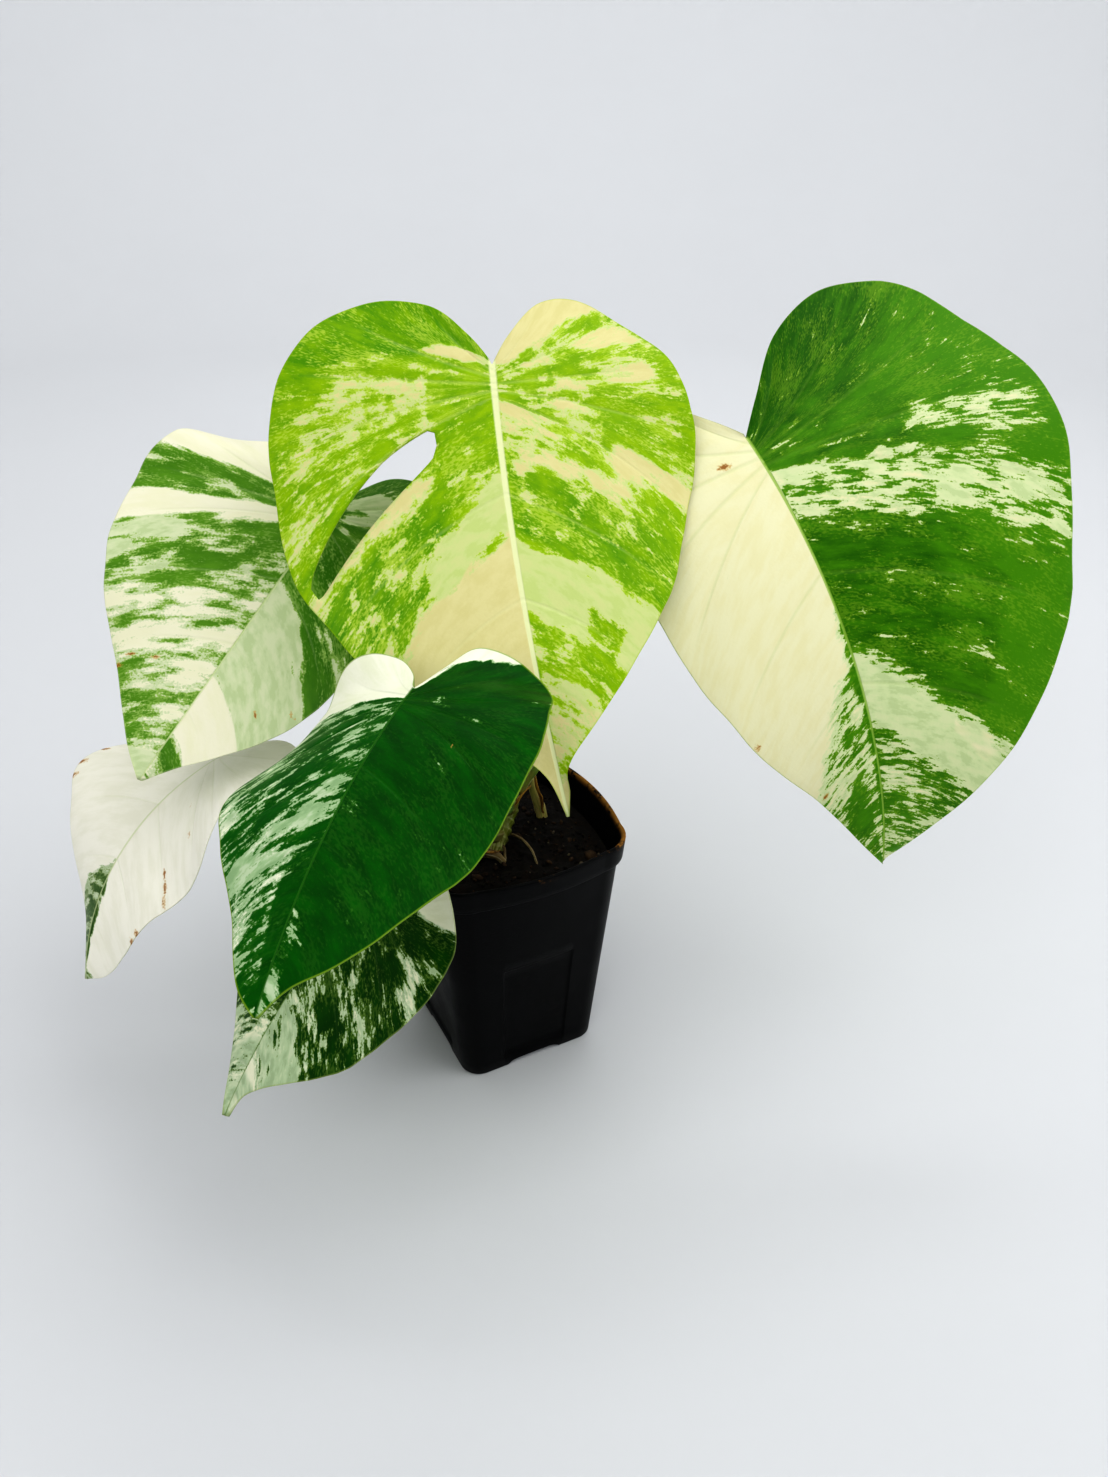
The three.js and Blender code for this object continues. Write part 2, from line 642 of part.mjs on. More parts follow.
const plant = new THREE.Group();
plant.name = 'potted_variegated_monstera';
addMesh(plant, 'pot', makePot(), '#15181c', 0.5);
addMesh(plant, 'soil', makeSoil(), '#1d1510', 0.95);
addMesh(plant, 'stem', barAlong(stemRoute, stemRadii, 14, 10), '#7b8a3c', 0.6);
petioles.forEach((petiole) => {
  const bar = barAlong(petioleRoute(petiole), petioleRadii(petiole), 16, petioleSides);
  addMesh(plant, petiole.name, bar, petiole.colour, 0.5);
});
leaves.forEach((leaf) => addMesh(plant, leaf.name, makeLeaf(leaf), leaf.colour, 0.4));

export default plant;
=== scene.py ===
# A young variegated monstera in a black square nursery pot: its surfaces, materials, light and camera.
# Shapes are written in millimetres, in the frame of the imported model, and enter the meshes in metres.
import math

import bpy
import numpy as np
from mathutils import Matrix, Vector


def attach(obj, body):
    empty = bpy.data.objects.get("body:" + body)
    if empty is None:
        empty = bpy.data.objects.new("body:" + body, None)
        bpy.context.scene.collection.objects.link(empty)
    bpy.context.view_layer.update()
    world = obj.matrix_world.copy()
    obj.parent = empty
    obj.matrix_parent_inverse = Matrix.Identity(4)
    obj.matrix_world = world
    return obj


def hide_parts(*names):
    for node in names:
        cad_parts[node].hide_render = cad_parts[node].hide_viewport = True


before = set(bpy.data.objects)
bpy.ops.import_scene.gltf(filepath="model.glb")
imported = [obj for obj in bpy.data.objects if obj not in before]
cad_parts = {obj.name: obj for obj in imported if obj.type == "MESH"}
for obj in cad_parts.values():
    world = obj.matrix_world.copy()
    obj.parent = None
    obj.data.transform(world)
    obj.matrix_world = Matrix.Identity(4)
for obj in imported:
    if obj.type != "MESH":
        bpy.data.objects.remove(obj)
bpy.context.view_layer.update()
print("frame loaded with", len(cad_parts), "nodes")

mm = 0.001


# Numbers

def ease(x):
    # 0 below 0, 1 above 1 and a smooth S between them, 3x^2 - 2x^3
    x = np.clip(x, 0, 1)
    return x * x * (3 - 2 * x)


def linearColour(hexText):
    # sRGB hex to the linear red, green, blue and alpha that a shader socket takes
    parts = [int(hexText[k:k + 2], 16) / 255 for k in (1, 3, 5)]
    return [c / 12.92 if c <= 0.04045 else ((c + 0.055) / 1.055) ** 2.4 for c in parts] + [1.0]


def ringAngles(count):
    # Even steps round a full turn
    return np.linspace(0, math.tau, count + 1)[:-1]


def quarterTurned(x, y, turns):
    # x and y turned by a number of right angles, 0 to 3
    cos, sin = ((1, 0), (0, 1), (-1, 0), (0, -1))[turns]
    return x * cos - y * sin, x * sin + y * cos


def waveNoise(x, y, seed, waves=8):
    # A smooth field of about -1 to 1: the mean of sine waves of length 1 to 3, with seeded
    # directions and offsets, times 2.5
    random = np.random.default_rng(seed)
    total = np.zeros(np.broadcast(x, y).shape)
    for angle, size, offset in random.random((waves, 3)):
        across = x * math.cos(math.tau * angle) + y * math.sin(math.tau * angle)
        total += np.sin(math.tau * (across / (1 + 2 * size) + offset))
    return total * 2.5 / waves


# Meshes

def newObject(name, points, faces, material=None):
    # A smooth mesh object at the origin, from points in metres
    mesh = bpy.data.meshes.new(name)
    mesh.from_pydata(points.tolist(), [], faces)
    mesh.polygons.foreach_set("use_smooth", [True] * len(mesh.polygons))
    if material:
        mesh.materials.append(material)
    thing = bpy.data.objects.new(name, mesh)
    bpy.context.scene.collection.objects.link(thing)
    return thing


def makePiece(name, points, faces, material, nodes=(), maps=None, values=None):
    # A visible piece of the object, from points in mm. maps holds named pairs, one a point, and
    # values holds named numbers, one a point.
    piece = newObject(name, points * mm, faces, material)
    mesh = piece.data
    corners = np.empty(len(mesh.loops), int)
    mesh.loops.foreach_get("vertex_index", corners)
    for key, pairs in (maps or {}).items():
        layer = mesh.uv_layers.new(name=key)
        layer.data.foreach_set("uv", np.asarray(pairs, float)[corners].ravel())
    for key, numbers in (values or {}).items():
        attribute = mesh.attributes.new(key, "FLOAT", "POINT")
        attribute.data.foreach_set("value", np.asarray(numbers, float).ravel())
    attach(piece, "root")
    if nodes:
        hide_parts(*nodes)
    return piece


def gridFaces(rows, columns, wrap=False):
    # Four-cornered faces over a grid of points numbered row by row. wrap joins the last column
    # to the first.
    i, j = np.meshgrid(np.arange(rows - 1), np.arange(columns if wrap else columns - 1), indexing="ij")
    after = (j + 1) % columns
    corners = [i * columns + j, i * columns + after, (i + 1) * columns + after, (i + 1) * columns + j]
    return np.stack(corners, axis=-1).reshape(-1, 4)


def closedSkin(rings):
    # Rings of equally many points, anticlockwise as seen from the last ring's side, joined into
    # a closed body with a middle point in either end
    count, size = rings.shape[:2]
    points = np.vstack([rings.reshape(-1, 3), rings[0].mean(0), rings[-1].mean(0)])
    here = np.arange(size)
    after = (here + 1) % size
    last = (count - 1) * size
    first = np.stack([np.full(size, count * size), after, here], axis=1)
    final = np.stack([np.full(size, count * size + 1), last + here, last + after], axis=1)
    return points, gridFaces(count, size, wrap=True).tolist() + first.tolist() + final.tolist()


def mergeShapes(shapes):
    # Several (points, faces) pairs as one
    points, faces, start = [], [], 0
    for shapePoints, shapeFaces in shapes:
        points.append(shapePoints)
        faces += [[corner + start for corner in face] for face in shapeFaces]
        start += len(shapePoints)
    return np.vstack(points), faces


# Materials

smooth = {"interpolation_type": "SMOOTHSTEP"}  # settings for a Map Range node with soft ends
rgba = {"out": 2, "data_type": "RGBA"}  # settings for a Mix node that mixes colours


def newMaterial(name, constants):
    # A material with its Principled shader's constant inputs set
    material = bpy.data.materials.new(name)
    material.use_nodes = True
    for socket, value in constants.items():
        material.node_tree.nodes["Principled BSDF"].inputs[socket].default_value = value
    return material, material.node_tree


def add(tree, kind, inputs=(), out=0, **settings):
    # Adds one node and gives back one of its outputs. inputs is a list, in the node's own order,
    # or a dictionary by name or number; each entry is a value or another node's output.
    node = tree.nodes.new("ShaderNode" + kind)
    for key, value in settings.items():
        setattr(node, key, value)
    pairs = inputs.items() if isinstance(inputs, dict) else enumerate(inputs)
    for key, value in pairs:
        if isinstance(value, bpy.types.NodeSocket):
            tree.links.new(value, node.inputs[key])
        else:
            node.inputs[key].default_value = value
    return node.outputs[out]


def tinted(tree, colour, tone, field, low, high, least, most):
    # The tone laid over a colour, from least to most as the field runs from low to high
    mask = add(tree, "MapRange", [field, low, high, least, most], **smooth)
    return add(tree, "Mix", {0: mask, 6: colour, 7: tone}, **rgba)


def finishMaterial(material, colour, rough, height, strength, distance):
    # Gives colour, roughness and relief to the Principled shader; distance is the relief in metres
    tree = material.node_tree
    bump = add(tree, "Bump", {"Height": height, "Strength": strength, "Distance": distance})
    for socket, value in (("Base Color", colour), ("Roughness", rough), ("Normal", bump)):
        tree.links.new(value, tree.nodes["Principled BSDF"].inputs[socket])
    return material


# Camera, light and floor

view = {
    "place": (-0.168, -0.377, 0.400),  # metres
    "azimuth": -27.4,  # degrees round the pot from straight in front, to the left
    "elevation": 30.8,
    "lens": 28.0,
    "sensor": 36.0,
}
studio = {
    "floorColour": "#cfd1d3",
    "floorRadius": 1.5,
    "wallRadius": 2.4,
    "wallHeight": 2.2,
    "worldColour": "#f5f4f5",
    "worldStrength": 0.86,
    "look": "High Contrast",
    "exposure": -0.16,
    # place, aimed at, width, watts
    "lights": (((0.55, -0.55, 1.55), (0, 0, 0.15), 1.1, 6.5),
               ((-1.0, -0.8, 1.1), (-0.05, 0, 0.2), 0.9, 5.5),
               ((0.5, 0.7, 1.9), (1.2, 2.2, 0.5), 1.2, 12.0),
               ((0.95, -0.65, 0.4), (0.1, 0, 0.22), 0.6, 2.5)),
}


def addCamera():
    azimuth, elevation = math.radians(view["azimuth"]), math.radians(view["elevation"])
    back = Vector((math.sin(azimuth) * math.cos(elevation), -math.cos(azimuth) * math.cos(elevation),
                   math.sin(elevation)))
    data = bpy.data.cameras.new("photo_view")
    data.lens = view["lens"]
    data.sensor_width = view["sensor"]
    data.clip_start = 0.02  # metres
    camera = bpy.data.objects.new("photo_view", data)
    camera.location = view["place"]
    camera.rotation_euler = (-back).to_track_quat("-Z", "Y").to_euler()
    bpy.context.scene.collection.objects.link(camera)
    bpy.context.scene.camera = camera


def addLights():
    for k, (place, target, width, power) in enumerate(studio["lights"]):
        data = bpy.data.lights.new(f"softbox_{k + 1}", "AREA")
        data.shape = "SQUARE"
        data.size = width
        data.energy = power
        light = bpy.data.objects.new(data.name, data)
        light.location = place
        light.rotation_euler = (Vector(target) - Vector(place)).to_track_quat("-Z", "Y").to_euler()
        bpy.context.scene.collection.objects.link(light)
    world = bpy.data.worlds.new("pale_room")
    world.use_nodes = True
    background = world.node_tree.nodes["Background"]
    background.inputs["Color"].default_value = linearColour(studio["worldColour"])
    background.inputs["Strength"].default_value = studio["worldStrength"]
    bpy.context.scene.world = world
    settings = bpy.context.scene.view_settings
    settings.view_transform = "Standard"
    settings.look = studio["look"]
    settings.exposure = studio["exposure"]


def addFloor():
    # A round sweep: flat out to floorRadius, then a quarter ellipse up to an upright wall
    material, tree = newMaterial("matt_paint", {"Roughness": 0.75})
    place = add(tree, "TexCoord", out="Object")
    cloud = add(tree, "TexNoise", {"Vector": place, "Scale": 3.0, "Detail": 2.0})
    pale = linearColour(studio["floorColour"])
    shade = [0.97 * c for c in pale[:3]] + [1]
    colour = add(tree, "Mix", {0: cloud, 6: pale, 7: shade}, **rgba)
    tree.links.new(colour, tree.nodes["Principled BSDF"].inputs["Base Color"])
    sides = 96
    turn = np.linspace(0, math.pi / 2, 25)
    reach = studio["wallRadius"] - studio["floorRadius"]
    radii = np.concatenate([[0.001], np.linspace(0.3, 1, 4) * studio["floorRadius"],
                            studio["floorRadius"] + reach * np.sin(turn[1:]), [studio["wallRadius"]]])
    heights = np.concatenate([np.zeros(5), reach * (1 - np.cos(turn[1:])), [studio["wallHeight"]]])
    angle = ringAngles(sides)
    points = np.stack([radii[:, None] * np.cos(angle), radii[:, None] * np.sin(angle),
                       np.repeat(heights[:, None], sides, axis=1)], axis=-1).reshape(-1, 3)
    faces = gridFaces(len(radii), sides, wrap=True)[:, ::-1]
    floor = newObject("floor", points, faces.tolist(), material)


# Pot: a deep nursery pot of injection-moulded polypropylene

pot = {
    "height": 115, "rimWidth": 90, "baseWidth": 65, "rimCorner": 14, "baseCorner": 9,  # mm
    "wall": 1.3, "lip": 2, "band": 11,  # the band is the straight part under the lip
    "bulge": 4,  # how far the sides swell at the rim
    "recess": 0.8, "panel": (7, 62), "panelShare": 0.61,  # depth, lowest and highest z, share of the side
    "floor": 5, "hollow": 3.2, "skirt": 2.6, "boss": 9,  # the base and the hollow under it
    "arch": (27, 3, 4),  # width, height and depth of a foot opening
    "hole": 7, "holeOffset": 15,
    "insideBend": 84,  # mm, height of the last bend of the inner wall
    "black": "#040506", "worn": "#08090b", "dust": "#1b1917", "crust": "#9a6f35",
    "crustFrom": (0.1120, 0.1150),  # metres, from no crust to full crust
}


def potRings(z, inset, recess, sideCount=33, cornerCount=12):
    # Rounded squares at the heights z. Each side bulges by (1 - t^2) along its run t = -1..1 and
    # dishes in by the recess between the panel's edges; the corners are quarter circles.
    z, inset, recess = (np.asarray(value, float)[:, None] for value in (z, inset, recess))
    share = z / pot["height"]
    base, rim = pot["baseWidth"], pot["rimWidth"] - 2 * pot["lip"]
    half = (base + (rim - base) * share) / 2 - inset
    corner = np.maximum(pot["baseCorner"] + (pot["rimCorner"] - pot["baseCorner"]) * share - inset, 1)
    straight = half - corner
    edge = pot["panelShare"]
    slope = 0.03  # width of the panel's sloping edge
    t = np.concatenate([np.linspace(-0.98, 0.98, sideCount), [-edge - slope, -edge, edge, edge + slope]])
    t.sort()
    dish = ease((edge + slope - np.abs(t)) / slope)
    sideX = half + pot["bulge"] * share ** 2 * (1 - t ** 2) - recess * dish
    sideY = t * straight
    angle = np.linspace(0, math.pi / 2, cornerCount)
    x = np.concatenate([sideX, straight + corner * np.cos(angle)], axis=1)
    y = np.concatenate([sideY, straight + corner * np.sin(angle)], axis=1)
    level = np.repeat(z, x.shape[1], 1)
    quarters = [np.stack([*quarterTurned(x, y, turn), level], -1) for turn in range(4)]
    return np.concatenate(quarters, axis=1)


def potBody():
    # The profile runs from the base up the outside, over the rolled lip and down the inside, as rows
    # of z, how far the wall lies inside its outer face, and the share of the panel's recess
    wall, lip, recess = pot["wall"], pot["lip"], pot["recess"]
    low, high = pot["panel"]
    bottom = pot["height"] - pot["band"]
    turn = np.linspace(0, math.pi, 9)
    lipHeight = pot["height"] - 0.9 + 0.9 * np.sin(turn)
    lipInset = 0.95 - lip - 0.95 * np.cos(turn)
    profile = [(0, 0.9, 0), (0.25, 0.4, 0), (0.9, 0, 0)]
    profile += [(low - 0.4, 0, 0), (low + 0.2, 0, 0.5), (low + 1, 0, 1)]
    profile += [(low + 1 + k * (high - low - 1) / 14, 0, 1) for k in range(1, 14)]
    profile += [(high, 0, 1), (high + 0.8, 0, 0.5), (high + 1.5, 0, 0)]
    profile += [(high + 1.5 + k * (bottom - high - 1.5) / 8, 0, 0) for k in range(1, 9)]
    profile += [(bottom + 0.1, -0.6 * lip, 0), (bottom + 0.35, -0.9 * lip, 0), (bottom + 0.8, -lip, 0)]
    profile += [(bottom + k, -lip, 0) for k in (3, 5.5, 8)]
    profile += [(z, inset, 0) for z, inset in zip(lipHeight, lipInset)]
    profile += [(pot["height"] - 2, wall - lip + 0.7, 0), (bottom + 0.9, wall - 0.1, 0)]
    profile += [(z, wall, 0) for z in (bottom + 0.4, pot["insideBend"], high + 1)]
    profile += [(high - 1, wall + recess, 0)]
    profile += [(z, wall + recess, 0) for z in (50, 36, 22, low, pot["floor"] + 0.6)]
    profile += [(pot["floor"] + 0.1, wall + recess + 0.5, 0), (pot["floor"], wall + recess + 1.2, 0)]
    z, inset, dish = np.array(profile).T
    return closedSkin(potRings(z, inset, dish * recess))


def cutShape(name, rings):
    points, faces = closedSkin(rings)
    return newObject(name, points * mm, faces)


def drumRings(radius, x, y, low, high, sides=32):
    # An upright round drum as two rings
    angle = ringAngles(sides)
    ring = np.stack([x + radius * np.cos(angle), y + radius * np.sin(angle), 0 * angle], axis=1)
    return np.array([ring + [0, 0, z] for z in (low, high)])


def archRings(side):
    # A low arch under one side: the curve height * (1 - |t|^7) over t = -1..1, carried inwards
    width, height, depth = pot["arch"]
    share = np.sin(np.linspace(-math.pi / 2, math.pi / 2, 25))
    top = height * (1 - np.abs(share) ** 7)
    outline = np.vstack([np.stack([share * width / 2, top], 1), [[width / 2, -1], [-width / 2, -1]]])
    rings = []
    for y in (depth - pot["baseWidth"] / 2, -pot["baseWidth"] / 2 - 6):
        x, y = quarterTurned(outline[:, 0], np.full(len(outline), y), side)
        rings.append(np.stack([x, y, outline[:, 1]], 1)[::-1])
    return np.array(rings)


def underRings():
    # The hollow of the base: a rounded square prism
    half = pot["baseWidth"] / 2 - pot["skirt"]
    corner = pot["baseCorner"] - pot["skirt"]
    angle = np.linspace(0, math.pi / 2, 10)
    x, y = half - corner + corner * np.cos(angle), half - corner + corner * np.sin(angle)
    ring = np.concatenate([np.stack(quarterTurned(x, y, turn), 1) for turn in range(4)])
    return np.array([np.column_stack([ring, np.full(len(ring), z)]) for z in (-1, pot["hollow"])])


def cutAway(piece, cutters):
    # The cutters are taken out of the piece, which then shades flat across edges over 42 degrees
    for cutter in cutters:
        cut = piece.modifiers.new(cutter.name, "BOOLEAN")
        cut.object = cutter
        cut.solver = "EXACT"
    bpy.context.view_layer.objects.active = piece
    for name in [modifier.name for modifier in piece.modifiers]:
        bpy.ops.object.modifier_apply(modifier=name)
    for cutter in cutters:
        bpy.data.objects.remove(cutter)
    for polygon in piece.data.polygons:
        polygon.use_smooth = True
    piece.data.set_sharp_from_angle(angle=math.radians(42))


def potPlastic():
    # Injection-moulded black polypropylene: satin, faintly blue, with dust and scuffs on its walls
    # and a pale brown mineral crust along the rim, thickest at its right
    material, tree = newMaterial("moulded_black_polypropylene",
                                 {"IOR": 1.49, "Specular IOR Level": 0.12})
    tones = {key: linearColour(pot[key]) for key in ("black", "worn", "dust", "crust")}
    place = add(tree, "TexCoord", out="Object")
    height = add(tree, "SeparateXYZ", [place], out="Z")
    cloud = add(tree, "TexNoise", {"Vector": place, "Scale": 38.0, "Detail": 4.0, "Roughness": 0.6})
    upright = add(tree, "Mapping", {"Vector": place, "Scale": (900, 900, 45)})
    scuff = add(tree, "TexNoise", {"Vector": upright, "Scale": 1.0, "Detail": 3.0})
    worn = tinted(tree, tones["black"], tones["worn"], scuff, 0.6, 0.75, 0, 0.55)
    grit = add(tree, "TexNoise", {"Vector": place, "Scale": 420.0, "Detail": 3.0})  # 2 mm specks
    dusty = add(tree, "Math", [cloud, grit], operation="MULTIPLY")
    dusted = tinted(tree, worn, tones["dust"], dusty, 0.27, 0.46, 0, 0.35)
    rim = add(tree, "MapRange", [height, *pot["crustFrom"], 0, 1], **smooth)
    # Patches of 13 mm
    patch = add(tree, "TexNoise", {"Vector": place, "Scale": 75.0, "Detail": 6.0, "Roughness": 0.75})
    toRight = add(tree, "VectorMath", [place, (3.2, 0.6, 0)], out="Value", operation="DOT_PRODUCT")
    thicker = add(tree, "MapRange", [toRight, -0.03, 0.13, -0.1, 0.13])
    grown = add(tree, "Math", [patch, thicker], operation="ADD")
    caked = add(tree, "MapRange", [grown, 0.55, 0.64, 0, 1], **smooth)
    crust = add(tree, "Math", [rim, caked], operation="MULTIPLY")
    colour = add(tree, "Mix", {0: crust, 6: dusted, 7: tones["crust"]}, **rgba)
    satin = add(tree, "MapRange", [cloud, 0.35, 0.65, 0.36, 0.5])
    rough = add(tree, "Mix", {0: crust, 2: satin, 3: 0.85})
    fine = add(tree, "TexNoise", {"Vector": place, "Scale": 1400.0, "Detail": 2.0})  # 0.7 mm grain
    lumps = add(tree, "Math", [crust, fine], operation="MULTIPLY_ADD")
    tree.links.new(fine, lumps.node.inputs[2])
    return finishMaterial(material, colour, rough, lumps, 0.25, 0.0004)


def addPot():
    points, faces = potBody()
    piece = makePiece("nursery_pot", points, faces, potPlastic(), nodes=["pot"])
    offset, radius = pot["holeOffset"], pot["hole"] / 2
    cutters = [cutShape("drain_hole", drumRings(radius, x * offset, y * offset, -4, 8))
               for x, y in ((1, 1), (-1, 1), (-1, -1), (1, -1))]
    cutters += [cutShape("foot_arch", archRings(side)) for side in range(4)]
    hollow = cutShape("base_hollow", underRings())
    boss = cutShape("base_boss", drumRings(pot["boss"], 0, 0, -3, 6, 48))
    cutAway(hollow, [boss])
    cutAway(piece, [hollow] + cutters)


# Blades. u runs along the midrib from the joint to the tip and v across it, in millimetres of the
# flat blade. The midrib bends down by droop, turns by sweep and twists evenly along its length, and
# each half follows an arc that starts at its fold angle and turns by its curl angle. fold and curl
# hold one value each for the lobes, the joint, the middle and the tip. wave is the height, count and
# phase of the waves of the margin, and slit its vein's share s and the b where it starts and ends.
# left and right are the margins from the sinus to the tip.

leaves = {
    "leaf_center": {
        "at": (7, 9, 304), "heading": -110, "dip": 46, "roll": 1, "length": 165,
        "droop": 10, "sweep": 10, "twist": 0, "back": 6,
        "fold": {"left": (-1, 0, 0, 0), "right": (-5, 1, -2, 1)},
        "curl": {"left": (-11, -12, -14, -12), "right": (-15, -10, -14, -12)},
        "wave": (1.2, 3.5, 0.4), "slit": (0.6136, 0.25, 0.95),
        "left": [(-1.8, 0.8), (-12, 8), (-26, 22), (-30, 44), (-20, 65), (6, 79), (38, 82), (72, 77),
                 (102, 58), (127, 34), (141, 13), (151, 4), (165, 0.4)],
        "right": [(-1.8, 0.8), (-12, 7), (-27, 20), (-31, 37), (-19, 56), (7, 71), (38, 73), (71, 64),
                  (102, 48), (128, 25), (147, 5), (157, 2.5), (165, 0.4)],
    },
    "leaf_right": {
        "at": (93.4, -30.3, 275.8), "heading": -78, "dip": 38, "roll": -24, "length": 192,
        "droop": 58, "sweep": -10, "twist": 10, "back": 5,
        "fold": {"left": (-1, 1, 2, 0), "right": (9, 6, 7, 5)},
        "curl": {"left": (-12, -11, -11, -12), "right": (-7, -5, -8, -10)},
        "wave": (1.4, 3, 1.1),
        "left": [(-1.8, 0.8), (-13, 9), (-29, 22), (-34, 38), (-23, 54), (7, 64), (44, 64), (83, 58),
                 (119, 44), (150, 25), (175, 11), (192, 0.4)],
        "right": [(-1.8, 0.8), (-13, 12), (-31, 32), (-38, 58), (-25, 86), (7, 104), (42, 110), (81, 97),
                  (120, 77), (153, 48), (177, 20), (192, 0.4)],
    },
    "leaf_left": {
        "at": (-44, 50, 248), "heading": -147, "dip": 29, "roll": 16, "length": 131,
        "droop": 20, "sweep": -11, "twist": -5, "back": 5,
        "fold": {"left": (-5, 6, 5, 0), "right": (0, 2, 6, -3)},
        "curl": {"left": (-16, -5, -8, -12), "right": (-12, -11, -9, -14)},
        "wave": (1.2, 3, 2.0),
        "left": [(-1.8, 0.8), (-10, 7), (-21, 21), (-24, 41), (-16, 61), (4, 76), (30, 76), (57, 69),
                 (82, 53), (104, 32), (121, 14), (131, 0.4)],
        "right": [(-1.8, 0.8), (-10, 5), (-21, 14), (-24, 27), (-16, 40), (5, 48), (30, 49), (58, 46),
                  (85, 38), (104, 24), (120, 9), (131, 0.4)],
    },
    "leaf_outer_white": {
        "at": (-101, 38, 156), "heading": -178, "dip": 16, "roll": -7, "length": 117,
        "droop": 64, "sweep": 4, "twist": 6, "back": 5,
        "fold": {"left": (0, -15, 18, -3), "right": (-1, 8, -21, -31)},
        "curl": {"left": (0, 0, 0, 0), "right": (0, 0, 0, 0)},
        "wave": (1, 3, 0.7),
        "left": [(-1.8, 0.8), (-9, 5), (-19, 15), (-22, 29), (-14, 43), (5, 54), (29, 61), (50, 64),
                 (65, 45), (88, 24), (107, 10), (117, 0.4)],
        "right": [(-1.8, 0.8), (-9, 5), (-19, 14), (-22, 27), (-14, 39), (5, 48), (27, 51), (50, 45),
                  (73, 34), (95, 24), (111, 12), (117, 0.4)],
    },
    "leaf_front_dark": {
        "at": (-62, -77, 230), "heading": -141, "dip": 12, "roll": -6, "length": 111,
        "droop": 32, "sweep": 0, "twist": 3, "back": -14,
        "fold": {"left": (3, -9, -6, -7), "right": (-11, 2, -7, 1)},
        "curl": {"left": (-11, -35, -12, -14), "right": (-17, -10, -16, -12)},
        "wave": (1, 3, 2.6),
        "left": [(-1.8, 0.8), (-8, 4.5), (-14, 13), (-15, 25), (-9, 37), (8, 47), (28, 52), (50, 50),
                 (70, 37), (88, 22), (104, 10), (111, 0.4)],
        "right": [(-1.8, 0.8), (-12, 4.5), (-23, 12), (-22, 26), (-13, 41), (6, 49), (27, 49), (51, 46),
                  (72, 35), (91, 22), (102, 8), (111, 0.4)],
    },
    "leaf_lower_front": {
        "at": (-68, -40, 133), "heading": -173, "dip": 36, "roll": -4, "length": 108,
        "droop": 22, "sweep": 3, "twist": 2, "back": 4,
        "fold": {"left": (0, 0, 4, -1), "right": (6, -5, -4, 5)},
        "curl": {"left": (-12, -12, -10, -11), "right": (-9, -15, -15, -11)},
        "wave": (1, 3, 1.5),
        "left": [(-1.8, 0.8), (-8, 5), (-17, 14), (-20, 27), (-13, 40), (4, 50), (25, 51), (47, 47),
                 (67, 36), (85, 22), (98, 9), (108, 0.4)],
        "right": [(-1.8, 0.8), (-8, 5), (-17, 14), (-19, 27), (-12, 41), (5, 51), (25, 53), (47, 48),
                  (67, 36), (83, 19), (96, 6), (108, 0.4)],
    },
}
blade = {
    "rows": 132,
    "lobeShare": 0.18, "halfWidthShare": 0.45,  # of the midrib's length, for the lobes and a half's curl
    "fanEnd": 0.56, "fanShare": 0.08,  # veins up to this s start on this first share of the midrib
    "veinBend": (0.35, 0.6),  # where a side vein's middle control point lies along and across
    "slitHalf": (0.004, 0.015), "slitMiddle": (0.57, 0.05),  # least and added half width, and place, in s
    "thickness": 0.7, "edge": 0.4, "edgeWidth": 3,  # mm
    "quilt": 0.5,  # mm that the blade swells between its side veins
    "quiltEdge": 14,  # mm over which that fades out
    "sideVeins": 9,
    "dent": 0.016, "dentCount": 16,  # depth as a share of the half's width, and about how many
    "bandEdge": (0.036, 0.12),  # softness of a band's sides in s and of its ends in b
    "ridge": (1.5, 1.7),  # depth and half width of the midrib under the blade
    "ridgeTaper": 0.75,
}


def midribFrames(leaf, u):
    # At each u: the midrib's direction, the direction across to the right, and the upper normal
    heading, dip, roll = (math.radians(leaf[key]) for key in ("heading", "dip", "roll"))
    east, north = math.cos(heading), math.sin(heading)
    along = np.array([east * math.cos(dip), north * math.cos(dip), -math.sin(dip)])
    level = np.array([east * math.sin(dip), north * math.sin(dip), math.cos(dip)])
    face = level * math.cos(roll) + np.cross(level, along) * math.sin(roll)
    across = np.cross(face, along)
    share = np.maximum(u / leaf["length"], 0)
    behind = np.maximum(-u / (blade["lobeShare"] * leaf["length"]), 0)
    bend = np.radians(leaf["droop"] * share - leaf["back"] * behind)[..., None]
    sweep = np.radians(leaf["sweep"] * share)[..., None]
    twist = np.radians(leaf["twist"] * share)[..., None]
    ahead = along * np.cos(sweep) + across * np.sin(sweep)
    aside = across * np.cos(sweep) - along * np.sin(sweep)
    tangent = ahead * np.cos(bend) - face * np.sin(bend)
    up = ahead * np.sin(bend) + face * np.cos(bend)
    right = aside * np.cos(twist) + up * np.sin(twist)
    return tangent, right, up * np.cos(twist) - aside * np.sin(twist)


def midribPoints(leaf, u):
    # The running sum of the midrib's directions from the joint, read off at u
    places = np.linspace(-0.4 * leaf["length"], leaf["length"], 561)
    middle = (places[1:] + places[:-1]) / 2
    steps = midribFrames(leaf, middle)[0] * np.diff(places)[:, None]
    track = np.vstack([np.zeros(3), np.cumsum(steps, 0)])
    start = [np.interp(0, places, track[:, k]) for k in range(3)]
    return np.stack([np.interp(u, places, track[:, k]) - start[k] + leaf["at"][k] for k in range(3)], -1)


def stationValue(leaf, values, u):
    # Eases from the value for the lobes to those for the joint, the middle and the tip
    length = leaf["length"]
    places = (-blade["lobeShare"] * length, 0, length / 2, length)
    total = np.full(np.shape(u), float(values[0]))
    for k in range(3):
        total += (values[k + 1] - values[k]) * ease((u - places[k]) / (places[k + 1] - places[k]))
    return total


